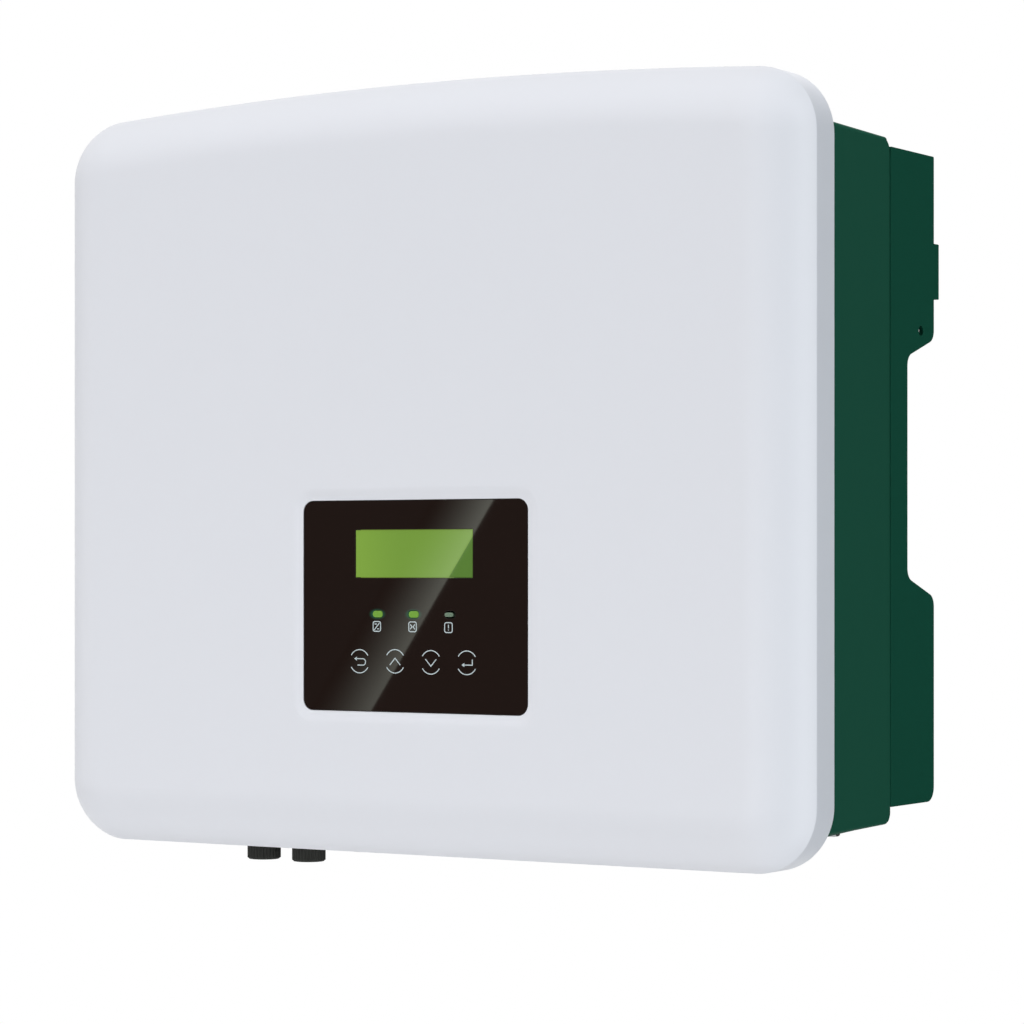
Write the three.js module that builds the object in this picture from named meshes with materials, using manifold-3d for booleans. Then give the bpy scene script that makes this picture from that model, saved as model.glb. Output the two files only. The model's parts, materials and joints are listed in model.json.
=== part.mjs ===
// A wall-hung single-phase hybrid string inverter. A moulded white front cover with a display panel
// closes a die-cast green housing. Behind the housing stand a finned heat sink and two folded
// side plates with grip recesses, joined by the hanger bar that hooks on to a wall bracket.
// The cable sockets point down from the housing's bottom, and a rotary DC switch stands on its left side.
// Millimetres. X runs to the right as seen from the front, Y towards the wall and Z up.
// The origin is the middle of the hanger bar's rear face, which lies in the wall plane.
import * as THREE from "three";
import { mergeVertices } from "three/addons/utils/BufferGeometryUtils.js";
import Module from "manifold-3d";

const wasm = await Module();
wasm.setup();

// Overall sizes
const overallWidth = 482;
const overallDepth = 181;
const coverHeight = 422;
const hangerDrop = 102.5;

// Clearances, and how far every cutting tool runs past the face that it cuts
const seatGap = 0.3;
const slideGap = 0.35;
const cutOverrun = 1;

// Front cover: a shell with a broad rounded edge and a top that rises to a crown
const archRise = 10;
const coverDepth = 42;
const coverWall = 3;
const coverCornerRadius = 35;
const coverEdgeRadius = 26;
const sealRibWidth = 2;
const bossRadius = 4.5;
const topBossRise = 12;
const bottomBossDrop = 7.5;
const outerBossInset = 51;
const windowFloorDepth = 1;
const windowFloorMargin = 7;
const stiffenerThickness = 1.8;
const stiffenerHeight = 6;
const stiffenerXShares = [-0.72, -0.44, 0.58, 0.8];
const stiffenerZShares = [0.24, 0.56, 0.82];

// Gasket between the cover's seal rib and the housing's rim
const gasketThickness = 3;
const gasketWidth = 3.4;

// Housing: a drafted tub with a flange that sits inside the cover's skirt
const skirtGap = 0.6;
const flangeRecess = 4;
const flangeThickness = 4;
const socketBayDepth = 60;
const rearShare = 0.717;
const housingTopDrop = 33.4;
const housingBottomRise = 18.6;
const housingDraftDegrees = 1.2;
const housingWall = 4;
const housingBack = 6;
const housingCornerRadius = 4;
const housingRearRadius = 4;
const rimCornerRadius = 18;

// Socket land: the flat face under the housing that the sockets seat on
const landDrop = 1.5;
const landLeftInset = 22;
const landRightInset = 9;
const landFrontInset = 7;
const landRearInset = 7;

// Heat sink
const sinkSideGap = 36;
const sinkEndGap = 19;
const sinkBase = 8;
const finWallGap = 14.5;
const finRoot = 3.2;
const finTip = 2;
const finCount = 29;

// Side plates
const plateInset = 5;
const plateThickness = 2.5;
const plateTopDrop = 6.6;
const plateBottomRise = 10.9;
const plateWallGap = 7.9;
const plateFlange = 20;
const plateCornerRadius = 8;
const plateSharpRadius = 1;
const gripDepthShare = 0.62;
const gripLength = 119.2;
const gripFlare = 10.8;
const gripDrop = 108;
const gripRadius = 7;
const lockHoleRadius = 2.75;
const lockHoleFromEdge = 16.6;
const lockHoleDrop = 33.6;
const plateScrewEndInset = 25;

// Hanger bar
const hangerHeight = 30.3;
const hangerThickness = 2.5;
const hangerShelf = 11;
const hangerEar = 28;
const hangerEndInset = 0.6;
const hookWindowWidth = 60;
const hookWindowHeight = 14;
const hookWindowX = 130;

// Screws
const screwRadius = 2;
const screwHeadRadius = 3.8;
const screwHeadHeight = 2.6;
const screwLength = 12;

// Display panel, with its middle measured from the cover's middle and bottom
const panelWidth = 145;
const panelHeight = 114.6;
const panelCornerRadius = 6;
const panelOffset = 8.5;
const panelRise = 136.4;
const frameMargin = 6;
const frameThickness = 3;
const postRadius = 3;
const postHeight = 3.2;
const postInset = 6;
const lcdWidth = 75.5;
const lcdHeight = 25.6;
const lcdRise = 28.4;
const lcdMargin = 5;
const pipeWidth = 6.4;
const pipeHeight = 3.6;
const pipePitch = 23.5;
const pipeDrop = 4.4;
const boardThickness = 1.8;

// Socket rows, from the middle of the housing's bottom, and columns as shares of its half width
const rowPitch = 29;
const rowShift = 0.2;
const batteryRowShift = -6;
const ventShare = -0.8256;
const pvShares = [-0.5843, -0.4507];
const batteryShare = -0.2767;
const portShare = -0.1432;
const commShare = 0.1769;
const gridShares = [0.5139, 0.7498];
const groundShare = 0.9014;

// Photovoltaic sockets
const stemLength = 16;
const pvStemRadius = 6.5;
const pvCollarRadius = 11.5;
const collarThickness = 5;
const pvNoseRadius = 7;
const pvBoreRadius = 4.8;
const frontNoseLength = 20.2;
const rearNoseLength = 12;
const boreDepth = 9;

// Battery sockets
const batteryStemRadius = 8.6;
const batteryCollarRadius = 13.6;
const batteryNoseRadius = 9.8;
const batteryBoreRadius = 7;
const batteryNoseLength = 12.5;

// Caps over the sockets
const capWall = 1.6;
const capFloor = 2.6;
const capRibHeight = 0.7;
const capRibCount = 9;

// Grid and backup sockets
const gridFlangeWidth = 44;
const gridFlangeRadius = 6;
const gridFlangeThickness = 4;
const gridNoseRadius = 16.5;
const gridBoreRadius = 13.5;
const gridNoseLength = 11;
const gridBoreDepth = 9;
const gridStemRadius = 14;

// Communication cover with two plugged cable entries
const commWidth = 84;
const commDepth = 40;
const commHeight = 9;
const commRadius = 5;
const commEntryPitch = 40;
const entryRadius = 11.5;
const entryHeight = 6;
const entryBoreRadius = 8;
const plugHead = 1.8;
const plugRadius = 9.6;

// Monitoring port with its cap
const portWidth = 20;
const portDepth = 12;
const portHeight = 13;
const portWall = 1.6;
const portBoreDepth = 10;
const portFlangeRadius = 14.5;
const portFlangeThickness = 2.5;
const portStemRadius = 7;

// Vent plug and ground screws
const ventRadius = 9;
const ventHeight = 6;
const ventStemRadius = 5;
const groundPitch = 22;
const groundRadius = 5;
const groundHeight = 4;
const groundShankRadius = 2.5;
const groundShankLength = 10;

// Rotary DC switch on the housing's left side
const switchRise = 62;
const switchPlateSize = 42;
const switchPlateThickness = 3;
const switchPlateRadius = 6;
const switchPadSize = 44;
const switchPadHeight = 1.5;
const knobBaseRadius = 15.5;
const knobBaseHeight = 5;
const knobGripLength = 29;
const knobGripWidth = 8;
const knobGripHeight = 13;
const switchShaftRadius = 4;
const switchBodyHeight = 44;
const switchBodyDepth = 46;
const switchFloorGap = 8;

// Boards and power parts inside the housing
const boardStandoff = 14;
const standoffRadius = 3.5;
const powerBoardLeftGap = 65.4;
const powerBoardRightGap = 13.4;
const powerBoardTopGap = 38;
const powerBoardRise = 26;
const standoffInset = 12;
const relayWidth = 30;
const relayDepth = 26;
const relayHeight = 16;
const relayPitch = 24;
const relayRise = 22;
const relayCount = 4;
const relayShare = 0.187;
const canRadius = 12.5;
const canFrontGap = 18;
const canPitch = 28;
const canColumns = 4;
const canRows = 2;
const canBaseThickness = 2;
const canBankShare = 0.2576;
const canBankRise = 60;
const moduleWidth = 110;
const moduleHeight = 56;
const moduleShare = 0.338;
const moduleDrop = 10;
const chokeSideGap = 43;
const chokeGap = 16;
const chokeHeight = 96;
const chokeFrontGap = 16;
const chokeRadius = 8;
const chokeTopGap = 14;
const controlSideGap = 7;
const controlLowShare = 0.19;
const controlTopShare = 0.305;
const controlFrontGap = 22;

// How finely round shapes are cut
const cornerSteps = 6;
const coarseSteps = 3;
const edgeSteps = 5;
const archSteps = 10;
const roundSides = 16;
const smallSides = 8;
const hexSides = 6;
const canSides = 12;

// Planes and edges that several pieces share
const frontY = -overallDepth;
const crownZ = hangerDrop;
const bottomZ = crownZ - coverHeight;
const coverInnerY = frontY + coverWall;
const coverRearY = frontY + coverDepth;
const flangeRearY = coverRearY - flangeRecess;
const flangeFrontY = flangeRearY - flangeThickness;
const rearSpace = rearShare * (-flangeFrontY - socketBayDepth);
const housingHalfWidth = overallWidth / 2 - coverWall - skirtGap;
const housingTopZ = crownZ - housingTopDrop;
const housingBottomZ = bottomZ + housingBottomRise;
const housingRearY = -rearSpace;
const housingFloorY = housingRearY - housingBack;
const housingMiddleZ = (housingTopZ + housingBottomZ) / 2;
const draftRatio = Math.tan(THREE.MathUtils.degToRad(housingDraftDegrees));
const landZ = housingBottomZ - landDrop;
const seatZ = landZ - seatGap;
const sinkFrontY = housingRearY + seatGap;
const finTipY = -finWallGap;
const plateX = overallWidth / 2 - plateInset;
const sinkWidth = 2 * (plateX - sinkSideGap);
const sinkHeight = housingTopZ - housingBottomZ - 2 * sinkEndGap;
const plateRearY = -plateWallGap;
const plateFrontY = housingRearY + seatGap;
const gripDepth = gripDepthShare * (plateRearY - plateFrontY);
const plateTopZ = housingTopZ - plateTopDrop;
const plateBottomZ = housingBottomZ + plateBottomRise;
const lensThickness = coverWall - windowFloorDepth;
const lensFrontY = frontY + windowFloorDepth;
const panelZ = bottomZ + panelRise;
const frameFrontY = coverInnerY + seatGap;
const frameRearY = frameFrontY + frameThickness;
const displayBoardY = frameRearY + postHeight + seatGap;
const switchY = (coverRearY + housingRearY) / 2;
const switchZ = housingBottomZ + switchRise;
const switchPadX = -housingHalfWidth - switchPadHeight;
const powerBoardY = housingFloorY - seatGap - boardStandoff;
const powerBoardFrontY = powerBoardY - boardThickness;
const powerBoardBottomZ = housingBottomZ + powerBoardRise;
const powerBoardTopZ = housingTopZ - housingWall - chokeTopGap - chokeHeight - powerBoardTopGap;
const powerBoardLeftX = -housingHalfWidth + powerBoardLeftGap;
const powerBoardRightX = housingHalfWidth - powerBoardRightGap;
const powerBoardWidth = powerBoardRightX - powerBoardLeftX;
const powerBoardHeight = powerBoardTopZ - powerBoardBottomZ;
const relayX = powerBoardRightX - relayShare * powerBoardWidth;
const canBankX = powerBoardLeftX + canBankShare * powerBoardWidth;
const canBankHalf = (canColumns * canPitch) / 2;

// Materials
const white = new THREE.MeshStandardMaterial({ color: 0xdcdee4, roughness: 0.45, metalness: 0 });
const green = new THREE.MeshStandardMaterial({ color: 0x184436, roughness: 0.55, metalness: 0.1 });
const darkGreen = new THREE.MeshStandardMaterial({ color: 0x133f31, roughness: 0.55, metalness: 0.1 });
const blackGloss = new THREE.MeshStandardMaterial({ color: 0x1c1513, roughness: 0.08, metalness: 0 });
const blackPlastic = new THREE.MeshStandardMaterial({ color: 0x1b1a19, roughness: 0.6, metalness: 0 });
const rubber = new THREE.MeshStandardMaterial({ color: 0x222324, roughness: 0.85, metalness: 0 });
const steel = new THREE.MeshStandardMaterial({ color: 0xa9abad, roughness: 0.3, metalness: 1 });
const lcdGreen = new THREE.MeshStandardMaterial({ color: 0x7da544, roughness: 0.3, metalness: 0 });
const lampGreen = new THREE.MeshStandardMaterial({ color: 0x6f9d3c, roughness: 0.3, metalness: 0 });
const boardGreen = new THREE.MeshStandardMaterial({ color: 0x1f5a34, roughness: 0.5, metalness: 0 });
const canBlue = new THREE.MeshStandardMaterial({ color: 0x23303f, roughness: 0.4, metalness: 0 });
const potting = new THREE.MeshStandardMaterial({ color: 0x8d8f90, roughness: 0.5, metalness: 0.6 });

// Booleans
function toSolid(geometry) {
  const bare = geometry.index ? geometry.clone() : geometry;
  for (const name of Object.keys(bare.attributes)) if (name !== "position") bare.deleteAttribute(name);
  const merged = mergeVertices(bare, 1e-4);
  const mesh = new wasm.Mesh({
    numProp: 3,
    vertProperties: new Float32Array(merged.attributes.position.array),
    triVerts: new Uint32Array(merged.index.array),
  });
  return new wasm.Manifold(mesh);
}

function fromSolid(solid) {
  const mesh = solid.getMesh();
  const geometry = new THREE.BufferGeometry();
  geometry.setAttribute("position", new THREE.BufferAttribute(mesh.vertProperties, 3));
  geometry.setIndex(new THREE.BufferAttribute(mesh.triVerts, 1));
  geometry.computeVertexNormals();
  return geometry;
}

function join(...geometries) {
  return fromSolid(geometries.map(toSolid).reduce((whole, next) => whole.add(next)));
}

function cut(geometry, ...tools) {
  return fromSolid(tools.map(toSolid).reduce((whole, tool) => whole.subtract(tool), toSolid(geometry)));
}

function common(first, second) {
  return fromSolid(toSolid(first).intersect(toSolid(second)));
}

// Basic solids, each placed between the planes that it is given
function slab([x0, x1], [y0, y1], [z0, z1]) {
  const box = new THREE.BoxGeometry(x1 - x0, y1 - y0, z1 - z0);
  return box.translate((x0 + x1) / 2, (y0 + y1) / 2, (z0 + z1) / 2);
}

function extrudeAlongZ(shape, z0, z1, steps = coarseSteps) {
  const options = { depth: z1 - z0, bevelEnabled: false, curveSegments: steps };
  return new THREE.ExtrudeGeometry(shape, options).translate(0, 0, z0);
}

// The shape's x and y become X and Z
function extrudeAlongY(shape, y0, y1) {
  return extrudeAlongZ(shape, -y1, -y0).rotateX(Math.PI / 2);
}

// The shape's x and y become Y and Z
function extrudeAlongX(shape, x0, x1, steps = coarseSteps) {
  const turn = new THREE.Matrix4().makeBasis(
    new THREE.Vector3(0, 1, 0),
    new THREE.Vector3(0, 0, 1),
    new THREE.Vector3(1, 0, 0),
  );
  return extrudeAlongZ(shape, x0, x1, steps).applyMatrix4(turn);
}

// A solid turned about a line along Z through (x, y), from points of [radius, z] listed from the top down
function turned(profile, x, y, sides = roundSides) {
  const points = profile.map(([radius, z]) => new THREE.Vector2(radius, z)).reverse();
  return new THREE.LatheGeometry(points, sides).rotateX(Math.PI / 2).translate(x, y, 0);
}

function rodAlongZ(radius, x, y, z0, z1, sides = roundSides) {
  const rod = new THREE.CylinderGeometry(radius, radius, z1 - z0, sides).rotateX(Math.PI / 2);
  return rod.translate(x, y, (z0 + z1) / 2);
}

function rodAlongY(radius, x, z, y0, y1, sides = smallSides) {
  return new THREE.CylinderGeometry(radius, radius, y1 - y0, sides).translate(x, (y0 + y1) / 2, z);
}

// The radius of a hole of few sides that still clears a round of the given radius
function around(radius, sides = smallSides) {
  return radius / Math.cos(Math.PI / sides);
}

function rodAlongX(radius, y, z, x0, x1, sides = roundSides) {
  const rod = new THREE.CylinderGeometry(radius, radius, x1 - x0, sides).rotateZ(Math.PI / 2);
  return rod.translate((x0 + x1) / 2, y, z);
}

function roundedRectangle(width, height, radius, middleX = 0, middleY = 0) {
  const right = middleX + width / 2;
  const left = middleX - width / 2;
  const top = middleY + height / 2;
  const bottom = middleY - height / 2;
  const shape = new THREE.Shape();
  shape.moveTo(right, bottom + radius);
  shape.absarc(right - radius, top - radius, radius, 0, Math.PI / 2);
  shape.absarc(left + radius, top - radius, radius, Math.PI / 2, Math.PI);
  shape.absarc(left + radius, bottom + radius, radius, Math.PI, Math.PI * 1.5);
  shape.absarc(right - radius, bottom + radius, radius, Math.PI * 1.5, Math.PI * 2);
  return shape;
}

// An outline whose corners are rounded one by one, from [x, y, radius] entries
function filletedOutline(corners) {
  const shape = new THREE.Shape();
  corners.forEach(([x, y, radius], i) => {
    const corner = new THREE.Vector2(x, y);
    const before = new THREE.Vector2(...corners.at(i - 1));
    const after = new THREE.Vector2(...corners[(i + 1) % corners.length]);
    const inward = before.clone().sub(corner).normalize();
    const onward = after.clone().sub(corner).normalize();
    const halfAngle = Math.acos(THREE.MathUtils.clamp(inward.dot(onward), -1, 1)) / 2;
    const reach = radius / Math.tan(halfAngle);
    const start = corner.clone().addScaledVector(inward, reach);
    const end = corner.clone().addScaledVector(onward, reach);
    const towards = inward.clone().add(onward).normalize();
    const centre = corner.clone().addScaledVector(towards, radius / Math.sin(halfAngle));
    const from = start.clone().sub(centre).angle();
    const to = end.clone().sub(centre).angle();
    const clockwise = inward.cross(onward) > 0;
    if (i === 0) shape.moveTo(start.x, start.y);
    shape.absarc(centre.x, centre.y, radius, from, to, clockwise);
  });
  shape.closePath();
  return shape;
}

// The points round an outline, each with its outward direction, so that an inset copy is a step inwards
function outlineArc(points, centreX, centreZ, radius, fromAngle, toAngle, steps, first = 0) {
  for (let i = first; i <= steps; i += 1) {
    const angle = fromAngle + ((toAngle - fromAngle) * i) / steps;
    const direction = new THREE.Vector2(Math.cos(angle), Math.sin(angle));
    const x = centreX + radius * direction.x;
    const z = centreZ + radius * direction.y;
    points.push({ x, z, direction });
  }
}

function archedOutline() {
  const half = overallWidth / 2;
  const archRadius = (half * half + archRise * archRise) / (2 * archRise);
  const archCentreZ = crownZ - archRadius;
  const cornerX = half - coverCornerRadius;
  const lowerZ = bottomZ + coverCornerRadius;
  const upperZ = archCentreZ + Math.sqrt((archRadius - coverCornerRadius) ** 2 - cornerX ** 2);
  const archEnd = Math.atan2(upperZ - archCentreZ, cornerX);
  const points = [];
  outlineArc(points, cornerX, lowerZ, coverCornerRadius, -Math.PI / 2, 0, cornerSteps);
  outlineArc(points, cornerX, upperZ, coverCornerRadius, 0, archEnd, cornerSteps);
  outlineArc(points, 0, archCentreZ, archRadius, archEnd, Math.PI - archEnd, archSteps, 1);
  outlineArc(points, -cornerX, upperZ, coverCornerRadius, Math.PI - archEnd, Math.PI, cornerSteps, 1);
  outlineArc(points, -cornerX, lowerZ, coverCornerRadius, Math.PI, Math.PI * 1.5, cornerSteps);
  return points;
}

function rectangleOutline(halfWidth, topZ, lowZ, radius, steps = cornerSteps) {
  const points = [];
  const x = halfWidth - radius;
  outlineArc(points, x, lowZ + radius, radius, -Math.PI / 2, 0, steps);
  outlineArc(points, x, topZ - radius, radius, 0, Math.PI / 2, steps);
  outlineArc(points, -x, topZ - radius, radius, Math.PI / 2, Math.PI, steps);
  outlineArc(points, -x, lowZ + radius, radius, Math.PI, Math.PI * 1.5, steps);
  return points;
}

// A closed solid through stations of [inset, y] along one outline, listed from front to rear
function loft(outline, stations) {
  const count = outline.length;
  const positions = [];
  for (const [inset, y] of stations)
    for (const { x, z, direction } of outline)
      positions.push(x - inset * direction.x, y, z - inset * direction.y);
  const index = [];
  for (let ring = 0; ring + 1 < stations.length; ring += 1)
    for (let i = 0; i < count; i += 1) {
      const a = ring * count + i;
      const b = ring * count + ((i + 1) % count);
      index.push(a, a + count, b + count, a, b + count, b);
    }
  const last = (stations.length - 1) * count;
  for (let i = 1; i + 1 < count; i += 1) index.push(0, i, i + 1, last, last + i + 1, last + i);
  const geometry = new THREE.BufferGeometry();
  geometry.setAttribute("position", new THREE.Float32BufferAttribute(positions, 3));
  geometry.setIndex(index);
  return geometry;
}

// Stations round a quarter turn, from a flat face to the wall behind it
function quarterTurn(radius, inset, y) {
  const stations = [];
  for (let i = 0; i <= edgeSteps; i += 1) {
    const angle = ((Math.PI / 2) * i) / edgeSteps;
    stations.push([inset + radius * (1 - Math.sin(angle)), y + radius * (1 - Math.cos(angle))]);
  }
  return stations;
}

const coverOutline = archedOutline();
const housingOutline = rectangleOutline(
  housingHalfWidth,
  housingTopZ,
  housingBottomZ,
  housingCornerRadius,
  coarseSteps,
);
const rimOutline = rectangleOutline(
  housingHalfWidth,
  housingTopZ,
  housingBottomZ,
  rimCornerRadius,
  coarseSteps,
);

// How far the drafted walls have drawn in at a depth
function draftInset(y) {
  return draftRatio * (y - flangeFrontY);
}

function outlineShape(outline, inset) {
  return new THREE.Shape(
    outline.map(({ x, z, direction }) => new THREE.Vector2(x - inset * direction.x, z - inset * direction.y)),
  );
}

function ringAlongY(outline, outerInset, width, y0, y1) {
  const shape = outlineShape(outline, outerInset);
  shape.holes.push(outlineShape(outline, outerInset + width));
  return extrudeAlongY(shape, y0, y1);
}

// Places that repeat
const coverScrewPlaces = [-1, 0, 1].flatMap((side) => {
  const x = side * (overallWidth / 2 - outerBossInset);
  return [
    [x, housingTopZ + topBossRise],
    [x, housingBottomZ - bottomBossDrop],
  ];
});
const plateScrewHeights = [
  plateTopZ - plateScrewEndInset,
  (plateTopZ + plateBottomZ) / 2,
  plateBottomZ + plateScrewEndInset,
];
const pipeOffsets = [-pipePitch, 0, pipePitch];
const screwHoleRadius = around(screwRadius + seatGap);

// Front cover
function frontCover() {
  const innerRadius = coverEdgeRadius - coverWall;
  const blank = loft(coverOutline, [...quarterTurn(coverEdgeRadius, 0, frontY), [0, coverRearY]]);
  const cavity = loft(coverOutline, [
    ...quarterTurn(innerRadius, coverWall, coverInnerY),
    [coverWall, coverRearY + cutOverrun],
  ]);
  const ribEnd = flangeFrontY - gasketThickness - 2 * seatGap;
  const rib = ringAlongY(rimOutline, (housingWall - sealRibWidth) / 2, sealRibWidth, frontY, ribEnd);
  const bosses = coverScrewPlaces.map(([x, z]) =>
    rodAlongY(bossRadius, x, z, frontY, flangeFrontY - seatGap),
  );
  const inside = common(join(rib, ...bosses, ...coverStiffeners()), blank);
  const pilotHoles = coverScrewPlaces.map(([x, z]) =>
    rodAlongY(screwHoleRadius, x, z, flangeRearY - screwLength - seatGap, flangeFrontY + cutOverrun),
  );
  const window = roundedRectangle(
    panelWidth + 2 * seatGap,
    panelHeight + 2 * seatGap,
    panelCornerRadius,
    panelOffset,
    panelZ,
  );
  const opening = extrudeAlongY(window, frontY - cutOverrun, coverInnerY + cutOverrun);
  return cut(join(cut(blank, cavity), inside), opening, windowDish(), ...pilotHoles);
}

// Ribs behind the face: uprights, and cross ribs above the display
function coverStiffeners() {
  const depth = [frontY, coverInnerY + stiffenerHeight];
  const half = housingHalfWidth - housingWall;
  const lowZ = housingBottomZ + housingWall;
  const highZ = housingTopZ - housingWall;
  const panelTopZ = panelZ + panelHeight / 2 + frameMargin;
  const uprights = stiffenerXShares.map((share) => {
    const x = share * half;
    return slab([x - stiffenerThickness / 2, x + stiffenerThickness / 2], depth, [lowZ, highZ]);
  });
  const crossRibs = stiffenerZShares.map((share) => {
    const z = panelTopZ + share * (highZ - panelTopZ);
    return slab([-half, half], depth, [z - stiffenerThickness / 2, z + stiffenerThickness / 2]);
  });
  return [...uprights, ...crossRibs];
}

// The shallow sloping recess round the panel
function windowDish() {
  const slope = windowFloorMargin / windowFloorDepth;
  const outline = rectangleOutline(
    panelWidth / 2 + windowFloorMargin,
    panelHeight / 2 + windowFloorMargin,
    -panelHeight / 2 - windowFloorMargin,
    panelCornerRadius + windowFloorMargin,
  );
  const dish = loft(outline, [
    [-slope * cutOverrun, frontY - cutOverrun],
    [windowFloorMargin, lensFrontY],
  ]);
  return dish.translate(panelOffset, 0, panelZ);
}

function coverGasket() {
  const rear = flangeFrontY - seatGap;
  return ringAlongY(rimOutline, (housingWall - gasketWidth) / 2, gasketWidth, rear - gasketThickness, rear);
}

// Display panel
function lampHoles(clearance, y0, y1) {
  return pipeOffsets.map((offset) => {
    const shape = roundedRectangle(
      pipeWidth + 2 * clearance,
      pipeHeight + 2 * clearance,
      pipeHeight / 2 + clearance,
      panelOffset + offset,
      panelZ - pipeDrop,
    );
    return extrudeAlongY(shape, y0, y1);
  });
}

function lcdHole(y0, y1) {
  const halfWidth = lcdWidth / 2 + seatGap;
  const halfHeight = lcdHeight / 2 + seatGap;
  const middleZ = panelZ + lcdRise;
  const across = [panelOffset - halfWidth, panelOffset + halfWidth];
  return slab(across, [y0, y1], [middleZ - halfHeight, middleZ + halfHeight]);
}

function displayLens() {
  const shape = roundedRectangle(panelWidth, panelHeight, panelCornerRadius, panelOffset, panelZ);
  const plate = extrudeAlongY(shape, lensFrontY, lensFrontY + lensThickness);
  return cut(
    plate,
    lcdHole(lensFrontY - cutOverrun, coverInnerY + cutOverrun),
    ...lampHoles(seatGap, lensFrontY - cutOverrun, coverInnerY + cutOverrun),
  );
}

function displayFrame() {
  const width = panelWidth + 2 * frameMargin;
  const height = panelHeight + 2 * frameMargin;
  const outer = roundedRectangle(width, height, panelCornerRadius + frameMargin, panelOffset, panelZ);
  const plate = extrudeAlongY(outer, frameFrontY, frameRearY);
  const postX = panelWidth / 2 - postInset;
  const postZ = panelHeight / 2 - postInset;
  const posts = [-1, 1].flatMap((sideX) =>
    [-1, 1].map((sideZ) =>
      rodAlongY(
        postRadius,
        panelOffset + sideX * postX,
        panelZ + sideZ * postZ,
        frameFrontY,
        frameRearY + postHeight,
      ),
    ),
  );
  return cut(
    join(plate, ...posts),
    lcdHole(frameFrontY - cutOverrun, frameRearY + cutOverrun),
    ...lampHoles(seatGap, frameFrontY - cutOverrun, frameRearY + cutOverrun),
  );
}

function lcdModule() {
  const middleZ = panelZ + lcdRise;
  const glass = slab(
    [panelOffset - lcdWidth / 2, panelOffset + lcdWidth / 2],
    [lensFrontY + seatGap, frameRearY + seatGap + cutOverrun],
    [middleZ - lcdHeight / 2, middleZ + lcdHeight / 2],
  );
  const carrier = slab(
    [panelOffset - lcdWidth / 2 - lcdMargin, panelOffset + lcdWidth / 2 + lcdMargin],
    [frameRearY + seatGap, displayBoardY - seatGap],
    [middleZ - lcdHeight / 2 - lcdMargin, middleZ + lcdHeight / 2 + lcdMargin],
  );
  return join(glass, carrier);
}

function displayBoard() {
  const shape = roundedRectangle(panelWidth, panelHeight, panelCornerRadius, panelOffset, panelZ);
  return extrudeAlongY(shape, displayBoardY, displayBoardY + boardThickness);
}

function ledPipe(offset) {
  const x = panelOffset + offset;
  const shape = roundedRectangle(pipeWidth, pipeHeight, pipeHeight / 2, x, panelZ - pipeDrop);
  return extrudeAlongY(shape, lensFrontY, displayBoardY - seatGap);
}

// Housing
function housing() {
  const rearInset = draftInset(housingRearY - housingRearRadius);
  const edge = quarterTurn(housingRearRadius, rearInset, 0)
    .reverse()
    .map(([inset, y]) => [inset, housingRearY - y]);
  const neckShape = outlineShape(coverOutline, coverWall + skirtGap);
  const neckEndY = coverRearY + seatGap;
  const lapY = neckEndY + cutOverrun;
  const neckBlank = loft(housingOutline, [
    [0, flangeFrontY],
    [draftInset(lapY), lapY],
  ]);
  const neck = common(neckBlank, extrudeAlongY(neckShape, flangeFrontY, lapY));
  const tub = loft(housingOutline, [[draftInset(neckEndY), neckEndY], ...edge]);
  const flange = extrudeAlongY(neckShape, flangeFrontY, flangeRearY);
  const land = slab(
    [-housingHalfWidth + landLeftInset, housingHalfWidth - landRightInset],
    [flangeRearY + landFrontInset, housingRearY - landRearInset],
    [landZ, housingBottomZ + housingWall],
  );
  const switchPad = slab(
    [switchPadX, -housingHalfWidth + housingWall],
    [switchY - switchPadSize / 2, switchY + switchPadSize / 2],
    [switchZ - switchPadSize / 2, switchZ + switchPadSize / 2],
  );
  const cavity = loft(rimOutline, [
    [housingWall + draftInset(flangeFrontY - cutOverrun), flangeFrontY - cutOverrun],
    [housingWall + draftInset(housingFloorY), housingFloorY],
  ]);
  const screwHoles = coverScrewPlaces.map(([x, z]) =>
    rodAlongY(screwHoleRadius, x, z, flangeFrontY - cutOverrun, flangeRearY + cutOverrun),
  );
  const stemHoles = wallStems.map(({ x, y, radius }) =>
    rodAlongZ(around(radius + seatGap, roundSides), x, y, landZ - cutOverrun, housingBottomZ + stemLength),
  );
  const shaftHole = rodAlongX(
    around(switchShaftRadius + slideGap, roundSides),
    switchY,
    switchZ,
    switchPadX - cutOverrun,
    -housingHalfWidth + 2 * housingWall,
  );
  const plateHoles = [-1, 1].flatMap((side) =>
    plateScrewHeights.map((z) =>
      rodAlongY(
        screwHoleRadius,
        side * plateScrewX,
        z,
        housingFloorY - cutOverrun,
        housingRearY + cutOverrun,
      ),
    ),
  );
  const body = join(neck, tub, flange, land, switchPad);
  return cut(body, cavity, ...screwHoles, ...stemHoles, shaftHole, ...plateHoles);
}

// Heat sink: a base with tapered fins, extruded upright
function heatSink() {
  const baseY = sinkFrontY + sinkBase;
  const pitch = (sinkWidth - finRoot) / (finCount - 1);
  const shape = new THREE.Shape();
  shape.moveTo(-sinkWidth / 2, sinkFrontY);
  shape.lineTo(sinkWidth / 2, sinkFrontY);
  for (let i = finCount - 1; i >= 0; i -= 1) {
    const x = -sinkWidth / 2 + finRoot / 2 + i * pitch;
    shape.lineTo(x + finRoot / 2, baseY);
    shape.lineTo(x + finTip / 2, finTipY);
    shape.lineTo(x - finTip / 2, finTipY);
    shape.lineTo(x - finRoot / 2, baseY);
  }
  shape.closePath();
  return extrudeAlongZ(shape, housingMiddleZ - sinkHeight / 2, housingMiddleZ + sinkHeight / 2);
}

// Side plates: a folded sheet with a grip recess in its rear edge
const plateScrewX = plateX - plateThickness - plateFlange / 2;

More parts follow.
